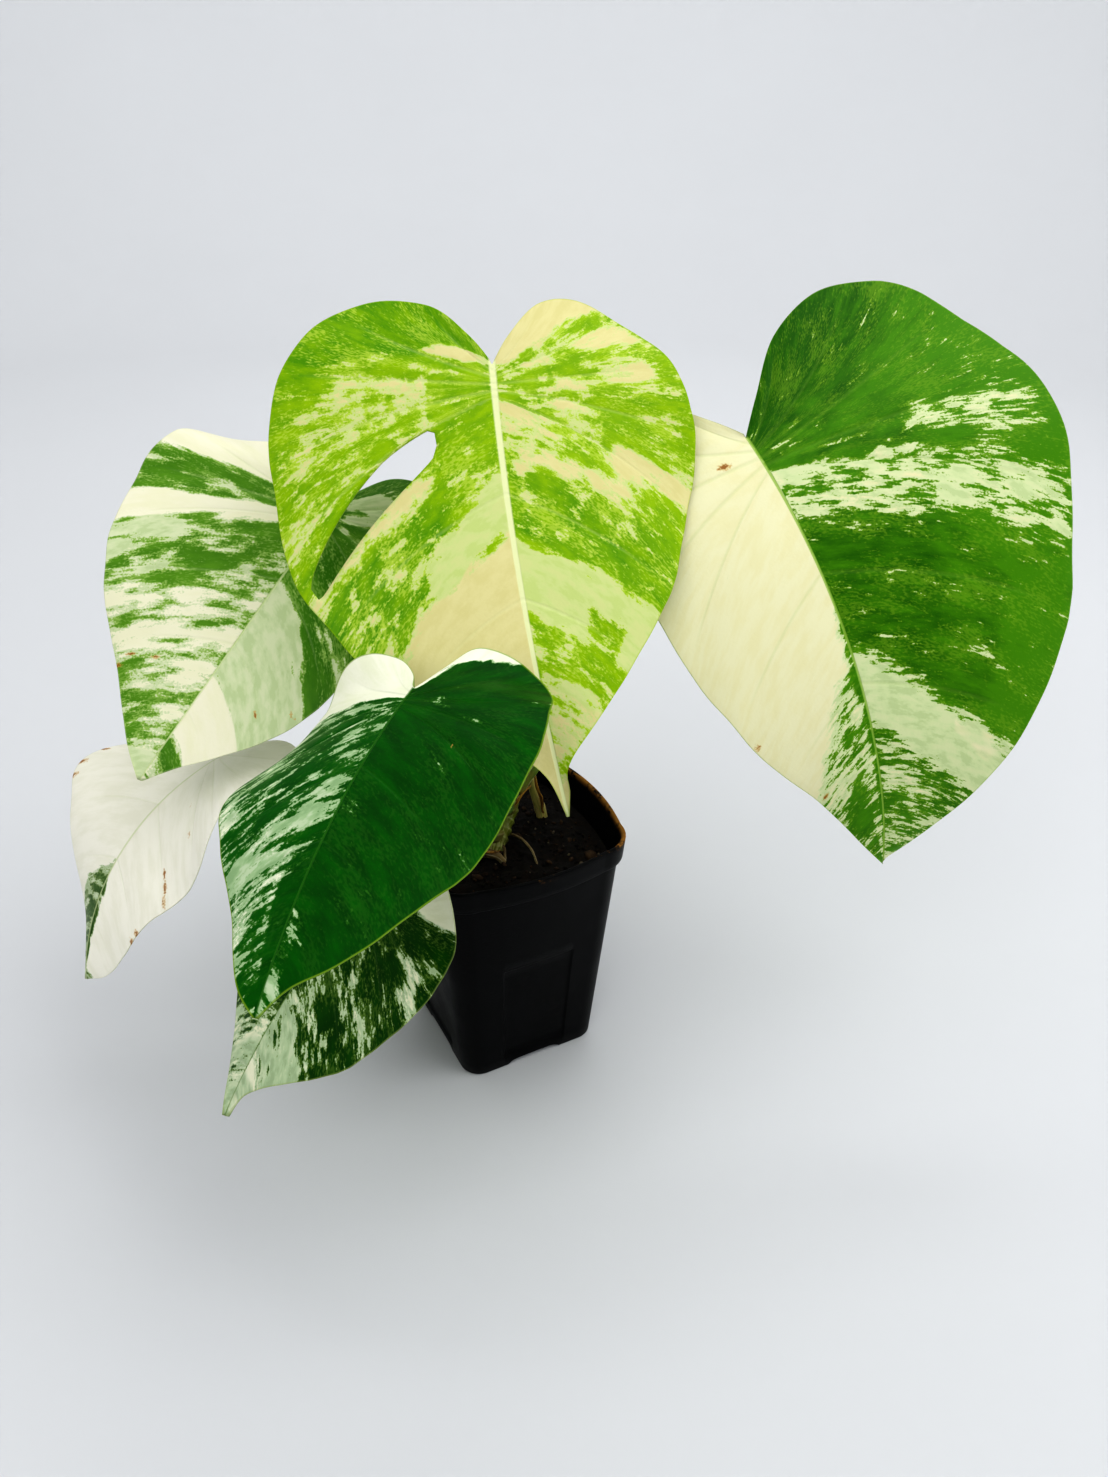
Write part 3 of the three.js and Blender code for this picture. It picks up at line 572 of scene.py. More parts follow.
def bladeSurface(leaf, u, v, half):
    # An arc of turning angle start..end across the half: out = (sin end - sin start) / turn and
    # rise = (cos start - cos end) / turn. On the midrib the halves' normals are averaged.
    right, up = midribFrames(leaf, u)[1:]
    sign = -1 if half == "left" else 1
    start = np.radians(stationValue(leaf, leaf["fold"][half], u))
    turn = np.radians(stationValue(leaf, leaf["curl"][half], u))
    turn = turn / (blade["halfWidthShare"] * leaf["length"])
    turn = np.where(np.abs(turn) < 1e-6, 1e-6, turn)  # a flat half keeps a trace of curl
    end = start + turn * v
    out = (np.sin(end) - np.sin(start)) / turn
    rise = (np.cos(start) - np.cos(end)) / turn
    point = midribPoints(leaf, u) + right * (sign * out)[..., None] + up * rise[..., None]
    folds = [np.radians(stationValue(leaf, leaf["fold"][side], u)) for side in ("right", "left")]
    angle = np.where(v == 0, (folds[0] - folds[1]) / 2, sign * end)[..., None]
    return point, up * np.cos(angle) - right * np.sin(angle)


def splineThrough(points, count):
    # A uniform Catmull-Rom curve with doubled ends, as points and the length run at each
    p = np.array([points[0], *points, points[-1]], float)
    t = np.linspace(0, len(points) - 1, count)
    k = np.minimum(t.astype(int), len(points) - 2)
    w = (t - k)[:, None]
    before, here, there, beyond = p[k], p[k + 1], p[k + 2], p[k + 3]
    leave, arrive = (there - before) / 2, (beyond - here) / 2
    curve = (2 * here - 2 * there + leave + arrive) * w ** 3 + leave * w + here
    curve += (3 * there - 3 * here - 2 * leave - arrive) * w ** 2
    run = np.concatenate([[0], np.cumsum(np.linalg.norm(np.diff(curve, axis=0), axis=1))])
    return curve, run


def veinPlace(leaf, half, s, b):
    # A side vein is a parabola from the midrib (b = 0) to the share s of the margin (b = 1). Up to
    # fanEnd the veins fan out of a short stretch behind the joint.
    curve, run = splineThrough(leaf[half], 1201)
    endU, endV = (np.interp(s * run[-1], run, curve[:, k]) for k in range(2))
    fan = blade["fanShare"] * np.minimum(s / blade["fanEnd"], 1)
    rest = (1 - blade["fanShare"]) * np.maximum((s - blade["fanEnd"]) / (1 - blade["fanEnd"]), 0)
    start = (fan + rest) * leaf["length"]
    along, across = blade["veinBend"]
    bendU, bendV = start + along * (endU - start), across * endV
    u = (1 - b) ** 2 * start + 2 * (1 - b) * b * bendU + b ** 2 * endU
    v = 2 * (1 - b) * b * bendV + b ** 2 * endV
    return u, v, run[-1]


def slitShift(leaf, s, b):
    # Two neighbouring veins part round a slit: each side of it keeps to a line that swells by
    # sqrt(sin(pi x^0.6)), and the rest of the half closes up evenly
    place, inner, outer = leaf["slit"]
    least, swell = blade["slitHalf"]
    start, drift = blade["slitMiddle"]
    x = np.clip((b - inner) / (outer - inner), 0, 1)
    half = least + swell * np.sqrt(np.sin(math.pi * x ** 0.6).clip(0))
    middle = start + drift * b ** 1.5
    moved = np.where(s < place, s / place * (middle - half),
                     1 - (1 - s) / (1 - place) * (1 - middle - half))
    inside = ease(b / inner) * (1 - ease((b - outer) / (1 - outer)))
    return s + (moved - s) * inside


def paintField(s, b, base, strokes):
    # A field over the half: base, then one band after another. A band is its value and two ends,
    # each (lowest s, highest s, b); its edges run straight from end to end and are soft.
    field = np.full(s.shape, float(base))
    side, end = blade["bandEdge"]
    for value, (low, high, near), (lowFar, highFar, far) in strokes:
        share = np.clip((b - near) / (far - near), 0, 1)
        first, second = low + (lowFar - low) * share, high + (highFar - high) * share
        inside = ease((s - first) / side + 0.5) * ease((second - s) / side + 0.5)
        inside *= ease((b - near) / end + 0.5) * ease((far - b) / end + 0.5)
        field += (value - field) * inside
    return field


def spotField(leaf, half, u, v, spots):
    # 1 in the middle of each dry spot, 0 on its edge and less outside. A spot is its place s and b,
    # and its half width across and half length along the vein in mm.
    field = np.full(u.shape, -1.0)
    for s, b, width, length in spots:
        spotU, spotV, _ = veinPlace(leaf, half, np.array(s), np.array(b))
        nextU, nextV, _ = veinPlace(leaf, half, np.array(s), np.array(b + 0.02))
        size = np.hypot(nextU - spotU, nextV - spotV)
        ahead = ((u - spotU) * (nextU - spotU) + (v - spotV) * (nextV - spotV)) / size
        aside = ((v - spotV) * (nextU - spotU) - (u - spotU) * (nextV - spotV)) / size
        field = np.maximum(field, 1 - np.hypot(ahead / length, aside / width))
    return field


def bladeGrid(leaf):
    # Rows run from the sinus to the tip, and columns from the left margin over the midrib to the
    # right margin, closest at the midrib and the margins. Small dents draw the margin in,
    # b * (1 - dent * wave * b^6). The lift is the margin's wave, height * b^2 * sin(count s), and
    # the swelling between side veins, |sin(pi * veins * s)|^0.8.
    steps = np.concatenate([[0, 0.006, 0.014, 0.026], np.linspace(0.045, 0.25, 9),
                            np.linspace(0.25, 0.95, 29)[1:], [0.965, 0.978, 0.987, 0.994, 1]])
    rows = np.linspace(0, 1, blade["rows"] + 1)
    slit = leaf.get("slit")
    if slit:
        slit = (np.round(slit[0] * blade["rows"] - 0.5), slit[1], slit[2])
    fields = {}
    for half in ("left", "right"):
        s, b = np.meshgrid(rows, steps, indexing="ij")
        flatS = slitShift(leaf, s, b) if slit and half == "left" else s
        dentNoise = waveNoise(flatS * blade["dentCount"], 0 * b, 71 + len(fields))
        dents = np.clip(0.5 + 0.5 * dentNoise, 0, 1)
        u, v, margin = veinPlace(leaf, half, flatS, b * (1 - blade["dent"] * dents * b ** 6))
        v = np.where(b == 0, 0, v)
        point, normal = bladeSurface(leaf, u, v, half)
        sign = 1 if half == "left" else -1
        height, count, phase = leaf["wave"]
        wave = height * b ** 2 * np.sin(math.tau * count * s + sign * phase)
        run = np.hypot(np.gradient(u, axis=1), np.gradient(v, axis=1)).cumsum(axis=1)
        toEdge = run[:, -1:] - run
        spread = np.hypot(np.gradient(u, axis=0), np.gradient(v, axis=0)) * blade["rows"]
        pillow = np.abs(np.sin(math.pi * blade["sideVeins"] * flatS)) ** 0.8
        room = ease(v / blade["quiltEdge"]) * ease(toEdge / blade["quiltEdge"])
        room = room * ease(spread / margin / 0.5)
        quilt = blade["quilt"] * (pillow - 0.5) * room
        marks = leaf["marks"][half]
        fields[half] = {
            "s": flatS, "b": b, "u": u, "v": -sign * v, "point": point, "normal": normal,
            "lift": wave + quilt, "along": -sign * run, "margin": np.full(s.shape, margin),
            "spread": spread, "edge": toEdge, "spot": spotField(leaf, half, u, v, marks.get("spots", ())),
            **{key: paintField(flatS, b, *marks[key]) for key in ("cream", "sage", "deep")},
        }
    grid = {}
    for key, right in fields["right"].items():
        left = fields["left"][key][:, ::-1]
        middle = (left[:, -1:] + right[:, :1]) / 2
        grid[key] = np.concatenate([left[:, :-1], middle, right[:, 1:]], axis=1)
    return grid, slit


def addLeaf(name):
    # The upper and under faces are the middle surface moved along its normal by half the
    # thickness; the midrib's ridge, depth * exp(-(v / width)^2), stands out of the under face and
    # tapers to the tip. A wall joins the faces along every free edge.
    leaf = leaves[name]
    grid, slit = bladeGrid(leaf)
    rows, columns = grid["s"].shape
    count = rows * columns
    edgeShare = ease(grid["edge"] / blade["edgeWidth"])
    thick = (blade["edge"] + (blade["thickness"] - blade["edge"]) * edgeShare) / 2
    depth, width = blade["ridge"]
    taper = 1 - blade["ridgeTaper"] * np.clip(grid["u"] / leaf["length"], 0, 1)
    ridge = depth * np.exp(-(grid["v"] / width) ** 2) * taper
    upper = grid["point"] + grid["normal"] * (grid["lift"] + thick)[..., None]
    under = grid["point"] + grid["normal"] * (grid["lift"] - thick - ridge)[..., None]
    points = np.vstack([upper.reshape(-1, 3), under.reshape(-1, 3)])
    quads = gridFaces(rows, columns).reshape(rows - 1, columns - 1, 4)[..., [0, 3, 2, 1]]
    # Which faces there are, with a rim of none
    present = np.pad(np.ones((rows - 1, columns - 1), bool), 1)
    if slit:
        b = np.round(np.minimum(grid["b"][0, :-1], grid["b"][0, 1:]), 6)
        left = np.arange(columns - 1) < columns // 2
        present[1 + int(slit[0]), 1:-1] = ~(left & (b >= slit[1] - 1e-6) & (b < slit[2] - 1e-6))
    shown = present[1:-1, 1:-1]
    top = quads[shown]
    faces = np.vstack([top, top[:, ::-1] + count])
    for side, first, second in (((0, -1), 0, 1), ((1, 0), 1, 2), ((0, 1), 2, 3), ((-1, 0), 3, 0)):
        beside = present[1 + side[0]:rows + side[0], 1 + side[1]:columns + side[1]]
        p, q = quads[..., first][shown & ~beside], quads[..., second][shown & ~beside]
        faces = np.vstack([faces, np.stack([p, p + count, q + count, q], axis=1)])
    # The maps are in cm: along the margin and along the vein, and over the flat blade
    veins = np.stack([grid["s"] * grid["margin"], grid["along"]], -1).reshape(-1, 2) / 10
    flat = np.stack([grid["u"], grid["v"]], -1).reshape(-1, 2) / 10
    painted = ("cream", "sage", "deep", "edge", "spot", "s")
    values = {key: np.tile(grid[key].ravel(), 2) for key in painted}
    values["spread"] = np.tile((grid["spread"] / grid["margin"]).ravel(), 2)
    values["under"] = np.repeat([0.0, 1.0], count)
    makePiece(name + "_blade", points, faces.tolist(), leafMaterial(name, leaf),
              nodes=[name], maps={"veins": np.tile(veins, (2, 1)), "flat": np.tile(flat, (2, 1))},
              values=values)


# Variegation. s is the share of the margin from the sinus (0) to the tip (1) where a side vein ends,
# and b runs along the vein from the midrib (0) to the margin (1). In the cream and sage fields 1 is
# all cream or sage, -1 has none, and between them the streaks along the veins decide. deep is the
# share of dark green. rib is the midrib line's half width at the joint and the tip in mm and its
# strength. grain and stretch size the streaks; flecks, marble and edging are strengths of the pale
# dashes, the blotches of sage and the clear margin; core is the cover at which sage gives way to
# cream.

leaves["leaf_center"].update(slot="lime_leaf", rib=(1.3, 0.6, 1.0), grain=1.15, stretch=1.0, seed=3,
               flecks=0.55, core=0.5, marble=0.35, edging=0.4, tones={
    "green": "#8fb400", "deep": "#558f00", "fleck": "#b9cf52", "sage": "#c3cf8c", "cream": "#d4ce98",
    "shade": "#c9c285", "midrib": "#dbe0ae", "edge": "#9dbb20", "under": "#b4c77a",
}, marks={
    "left": {
        "cream": (-0.6, [(-1, (-0.1, 0.2, 0.35), (-0.1, 0.40, 1.1)),
            (0.8, (0.05, 0.17, 0.2), (0.13, 0.22, 0.44)),
            (-0.12, (0.27, 0.46, 0.25), (0.37, 0.46, 0.85)),
            (-0.3, (0.46, 0.57, 0.1), (0.46, 0.57, 1.1)),
            (0.9, (0.606, 0.622, 0.3), (0.622, 0.638, 1.1)), (-0.45, (0.64, 0.7, 0), (0.64, 0.76, 1.1)),
            (1, (0.70, 1.1, -0.1), (0.752, 1.1, 1.1))]),
        "sage": (-1, [(0.6, (-0.1, 0.12, 0.1), (-0.1, 0.1, 0.36)),
            (0.9, (0.632, 0.705, -0.1), (0.695, 0.735, 0.5))]),
        "deep": (0.35, [(0.75, (-0.1, 0.25, 0.4), (-0.1, 0.38, 1.1)),
            (0.8, (0.63, 0.76, 0.3), (0.63, 0.8, 1.1))]),
    },
    "right": {
        "cream": (-0.42, [(1, (-0.1, 0.15, 0.12), (-0.1, 0.175, 0.6)),
            (1, (-0.1, 0.15, 0.55), (-0.1, 0.22, 1.1)), (0.45, (0.2, 0.25, 0.5), (0.235, 0.285, 0.95)),
            (0.5, (0.31, 0.36, 0.52), (0.32, 0.37, 0.85)), (0.3, (0.21, 0.25, 0.2), (0.22, 0.26, 0.36)),
            (0.3, (0.34, 0.39, 0.28), (0.34, 0.39, 0.4)), (0.2, (0.43, 0.49, 0.25), (0.40, 0.46, 0.42)),
            (0.75, (0.53, 0.575, 0.55), (0.51, 0.555, 1.1)),
            (0.3, (0.565, 0.6, 0), (0.565, 0.585, 0.3)),
            (1, (0.612, 0.632, 0.08), (0.585, 0.602, 0.65)), (-0.6, (0.64, 0.7, 0), (0.61, 0.7, 1.1)),
            (-1, (0.71, 0.8, -0.1), (0.71, 0.8, 1.1)), (-0.35, (0.8, 0.87, 0), (0.8, 0.87, 1)),
            (0.3, (0.87, 0.95, 0.1), (0.85, 0.93, 1)), (1, (0.965, 1.1, -0.1), (0.95, 1.1, 1.1))]),
        "sage": (-0.9, [(0.95, (0.715, 0.79, -0.1), (0.71, 0.8, 1.1)),
            (-0.6, (0.75, 0.785, 0.5), (0.755, 0.795, 0.85)),
            (0.2, (0.84, 0.93, 0.05), (0.84, 0.93, 1.1))]),
        "deep": (0.3, [(0.6, (0.62, 0.71, 0), (0.62, 0.71, 1.1))]),
    },
})
leaves["leaf_right"].update(slot="green_leaf", rib=(0.65, 0.35, 0.8), grain=0.9, stretch=1.7, seed=11,
               flecks=0.35, core=0.9, marble=0.4, edging=0.35, tones={
    "green": "#4c880c", "deep": "#265f00", "fleck": "#7fa62a", "sage": "#cbd8a6", "cream": "#e1dfb9",
    "shade": "#dcd7a6", "midrib": "#8fb24a", "edge": "#86a83a", "under": "#93ab6c",
}, marks={
    "left": {
        "cream": (1, [(-0.05, (0.735, 1.1, -0.1), (0.85, 1.1, 1.1)),
            (-0.9, (0.69, 1.1, -0.1), (0.72, 1.1, 0.05)), (-0.5, (0.86, 1.1, 0.3), (0.9, 1.1, 1.1))]),
        "sage": (-0.6, []),
        "deep": (0.3, []),
        "spots": [(0.296, 0.2, 1.6, 3.4), (0.84, 0.88, 1.2, 2.6), (0.702, 0.97, 1.5, 2.5),
            (0.845, 0.93, 0.7, 1.5)],
    },
    "right": {
        "cream": (-0.9, [(-1, (-0.1, 0.25, 0), (-0.1, 0.25, 1.1)),
            (-0.8, (0.25, 0.42, 0), (0.25, 0.5, 1.1)), (-0.1, (0.44, 0.5, 0.42), (0.43, 0.5, 0.92)),
            (0.1, (0.555, 0.61, -0.1), (0.52, 0.62, 0.5)),
            (-0.02, (0.53, 0.6, 0.5), (0.53, 0.62, 0.95)), (-0.85, (0.62, 0.745, 0), (0.62, 0.79, 1)),
            (-1, (0.745, 0.82, -0.1), (0.81, 0.87, 1.1)), (0.9, (0.742, 0.752, 0.0), (0.79, 0.8, 0.45)),
            (1, (0.795, 0.825, 0.5), (0.82, 0.865, 1.1)), (-0.16, (0.825, 0.93, 0), (0.87, 0.94, 1.1)),
            (-0.05, (0.93, 1.1, 0), (0.93, 1.1, 1.1))]),
        "sage": (-1, [(1, (0.737, 0.815, -0.1), (0.792, 0.85, 0.38)),
            (1, (0.787, 0.85, 0.28), (0.817, 0.878, 1.1)), (0.1, (0.54, 0.61, 0), (0.54, 0.61, 1)),
            (-0.1, (0.91, 1.1, 0.08), (0.91, 1.1, 1.1))]),
        "deep": (0.35, [(0.7, (-0.1, 0.34, 0), (-0.1, 0.3, 1.1)),
            (0.95, (-0.1, 0.24, 0), (-0.1, 0.2, 1.1)), (0.1, (0.3, 0.62, 0.5), (0.26, 0.66, 1.1)),
            (-0.3, (0.36, 0.6, 0.75), (0.3, 0.64, 1.1)), (0.6, (0.6, 0.74, -0.1), (0.6, 0.76, 0.45)),
            (-0.2, (0.62, 0.8, 0.7), (0.66, 0.82, 1.1)), (0.5, (0.84, 0.92, 0), (0.84, 0.92, 1.1))]),
    },
})
leaves["leaf_left"].update(slot="white_leaf", rib=(0.7, 0.3, 0.6), grain=1.6, stretch=1.5, seed=23,
               flecks=0.35, core=0.35, marble=0.4, edging=0.2, tones={
    "green": "#649428", "deep": "#3f7412", "fleck": "#9fbc66", "sage": "#c4d0a6", "cream": "#e4e2ca",
    "shade": "#dcdcb8", "midrib": "#c9d6a0", "edge": "#cfd6a8", "under": "#c3cda6",
}, marks={
    "left": {
        "cream": (-0.12, [(1, (0.2, 0.38, 0.3), (0.22, 0.4, 1.1)),
            (-0.45, (0.33, 0.5, 0.15), (0.41, 0.5, 1.1)), (1, (0.505, 0.57, 0.05), (0.5, 0.565, 1.1)),
            (-0.32, (0.575, 0.69, 0), (0.575, 0.685, 1.1)), (0.15, (0.69, 0.82, 0), (0.69, 0.82, 1.1)),
            (-0.12, (0.82, 0.96, 0), (0.82, 0.96, 1.1)), (-0.1, (0.955, 1.1, 0), (0.955, 1.1, 1.1))]),
        "sage": (-0.6, [(0.3, (0.56, 0.62, 0.6), (0.56, 0.66, 1.1)),
            (0.3, (0.95, 1.1, 0), (0.95, 1.1, 1.1))]),
        "deep": (0.55, []),
        "spots": [(0.817, 0.98, 1.3, 2.6), (0.803, 0.83, 0.9, 2.6), (0.812, 0.58, 1.0, 2.4),
            (0.83, 0.7, 0.5, 1.0)],
    },
    "right": {
        "cream": (-0.75, [(1, (0.83, 0.935, -0.1), (0.82, 0.93, 1.1)),
            (-0.6, (0.935, 0.965, 0), (0.935, 0.965, 1.1)),
            (0.3, (0.965, 1.1, 0), (0.965, 1.1, 1.1))]),
        "sage": (-0.9, [(0.75, (0.655, 0.83, -0.1), (0.705, 0.83, 1.1)),
            (0.5, (0.1, 0.35, 0.15), (0.15, 0.3, 0.6)), (0.2, (0.4, 0.52, 0.15), (0.4, 0.5, 0.5))]),
        "deep": (0.85, []),
        "spots": [(0.787, 0.72, 0.8, 2.2), (0.729, 0.89, 0.7, 2.0), (0.722, 0.93, 0.6, 1.2)],
    },
})
leaves["leaf_outer_white"].update(slot="white_leaf", rib=(0.7, 0.3, 0.6), grain=1.3, stretch=1.5, seed=31,
               flecks=0.3, core=0.4, marble=0.6, edging=0.3, tones={
    "green": "#4b6e2c", "deep": "#2c5216", "fleck": "#8ba063", "sage": "#b2c29c", "cream": "#edebdd",
    "shade": "#dfdeca", "midrib": "#c8d2a2", "edge": "#d6d6bd", "under": "#d3d6bd",
}, marks={
    "left": {
        "cream": (1, [(-0.6, (0.77, 1.1, -0.1), (0.83, 1.1, 0.75)),
            (-0.4, (0.85, 1.1, 0), (0.85, 1.1, 1.1))]),
        "sage": (-0.8, [(-0.1, (0.8, 1.1, 0), (0.83, 1.1, 1.1))]),
        "deep": (0.8, []),
        "spots": [(0.57, 1.0, 1.6, 5), (0.6, 1.0, 1.6, 4), (0.53, 0.98, 1.0, 3)],
    },
    "right": {
        "cream": (1, [(-0.7, (0.78, 0.99, -0.1), (0.84, 0.97, 0.1)),
            (-0.3, (0.97, 1.1, 0), (0.97, 1.1, 1.1))]),
        "sage": (-0.9, []),
        "deep": (0.8, []),
        "spots": [(0.659, 0.68, 1.1, 3.0), (0.660, 0.80, 1.3, 4.0), (0.663, 0.92, 1.2, 3.5),
            (0.579, 0.38, 0.7, 3), (0.571, 0.63, 0.9, 2.5), (0.76, 0.98, 1.6, 3),
            (0.785, 0.99, 1.6, 2.6)],
    },
})
leaves["leaf_front_dark"].update(slot="dark_leaf", rib=(0.5, 0.3, 0.7), grain=1.1, stretch=1.5, seed=43,
               flecks=0.2, core=0.55, marble=0.5, edging=0.8, tones={
    "green": "#066000", "deep": "#004400", "fleck": "#3a7420", "sage": "#9db98c", "cream": "#e9ead6",
    "shade": "#dadfbf", "midrib": "#2e6a18", "edge": "#7c9a2c", "under": "#6f9152",
}, marks={
    "left": {
        "cream": (-0.24, [(1, (-0.1, 0.29, -0.1), (-0.1, 0.34, 1.1)),
            (-0.36, (0.29, 0.57, 0.08), (0.36, 0.57, 0.65)),
            (-0.12, (0.36, 0.58, 0.65), (0.36, 0.56, 1.1)),
            (-0.42, (0.56, 0.71, 0.02), (0.58, 0.7, 0.6)), (0.0, (0.6, 0.7, 0.7), (0.6, 0.7, 1.1)),
            (-0.05, (0.71, 0.88, 0.3), (0.7, 0.9, 1.1)), (-0.95, (0.77, 1.0, -0.1), (0.82, 1.0, 0.33)),
            (-0.3, (0.9, 1.1, 0.3), (0.9, 1.1, 1.1))]),
        "sage": (-0.3, [(0.3, (0.71, 0.78, 0.2), (0.71, 0.78, 1)),
            (-1, (0.77, 1.0, -0.1), (0.82, 1.0, 0.33))]),
        "deep": (0.6, []),
    },
    "right": {
        "cream": (-1.15, [(1, (-0.1, 0.11, 0.1), (-0.1, 0.11, 0.75)),
            (1, (-0.1, 0.13, 0.74), (-0.1, 0.24, 1.1)), (-0.3, (0.86, 0.93, 0), (0.9, 0.95, 0.4)),
            (-0.2, (0.94, 1.1, 0), (0.94, 1.1, 1.1))]),
        "sage": (-1, [(-0.1, (0.87, 0.95, 0), (0.9, 0.96, 0.5)),
            (0.1, (0.95, 1.1, 0), (0.95, 1.1, 1.1))]),
        "deep": (0.75, []),
        "spots": [(0.555, 0.46, 0.7, 0.9)],
    },
})
leaves["leaf_lower_front"].update(slot="dark_leaf", rib=(0.5, 0.3, 0.6), grain=1.0, stretch=1.3, seed=57,
               flecks=0.35, core=0.7, marble=0.5, edging=0.4, tones={
    "green": "#1c5204", "deep": "#0b3c00", "fleck": "#6d8d3a", "sage": "#b6c9a2", "cream": "#ecedd2",
    "shade": "#dadcb8", "midrib": "#6f8f4a", "edge": "#9fae62", "under": "#8aa268",
}, marks={
    "left": {
        "cream": (-0.6, [(0.2, (0.45, 0.75, 0.7), (0.55, 0.75, 1.1)),
            (0.1, (0.8, 0.9, 0), (0.8, 0.9, 1.1)), (0.4, (0.9, 1.1, 0), (0.9, 1.1, 1.1))]),
        "sage": (-0.5, [(0.8, (0.66, 0.77, 0.4), (0.68, 0.77, 0.62)),
            (0.6, (0.86, 1.1, 0), (0.86, 1.1, 1.1))]),
        "deep": (0.8, []),
    },
    "right": {
        "cream": (-0.78, [(1, (0.14, 0.265, 0.2), (0.16, 0.31, 1.1)),
            (0.3, (0.42, 0.46, 0.5), (0.41, 0.45, 0.85)), (0.3, (0.46, 0.5, 0.75), (0.46, 0.5, 1.1)),
            (-0.2, (0.6, 0.66, 0.3), (0.6, 0.66, 1.1)), (-0.1, (0.7, 0.77, 0.1), (0.7, 0.75, 0.9)),
            (-0.4, (0.77, 0.85, 0), (0.77, 0.85, 1.1)), (0.6, (0.86, 1.1, 0), (0.86, 1.1, 1.1))]),
        "sage": (-0.6, [(0.5, (0.76, 0.87, 0), (0.76, 0.87, 1.1)),
            (0.8, (0.87, 1.1, 0), (0.87, 1.1, 1.1))]),
        "deep": (0.85, []),
    },
})
leafLook = {
    "fine": (1.8, 4.8),  # mm across and along the veins, for single streaks
    "broad": (4.6, 10.5),  # for groups of streaks
    "drift": (11.0, 20.0),  # for the slow change from place to place
    "dash": (0.8, 1.8),  # short pale dashes in the green
    "blotch": (4.0, 9.0),  # the marbling of the sage tissue
    "speck": 0.9,  # mm
    "network": 3.0,  # mm between the small veins
    "weights": (2.2, 2.4, 1.5, 0.7),  # how much fine, broad, drift and speck fray a pale patch
    "veinTint": 0.12, "underTint": 0.45,
    "gloss": 0.4, "paleGloss": 0.46, "underDuller": 0.18,  # roughness
    "spotBrown": "#8f5a20", "spotRim": "#c39a52",
}


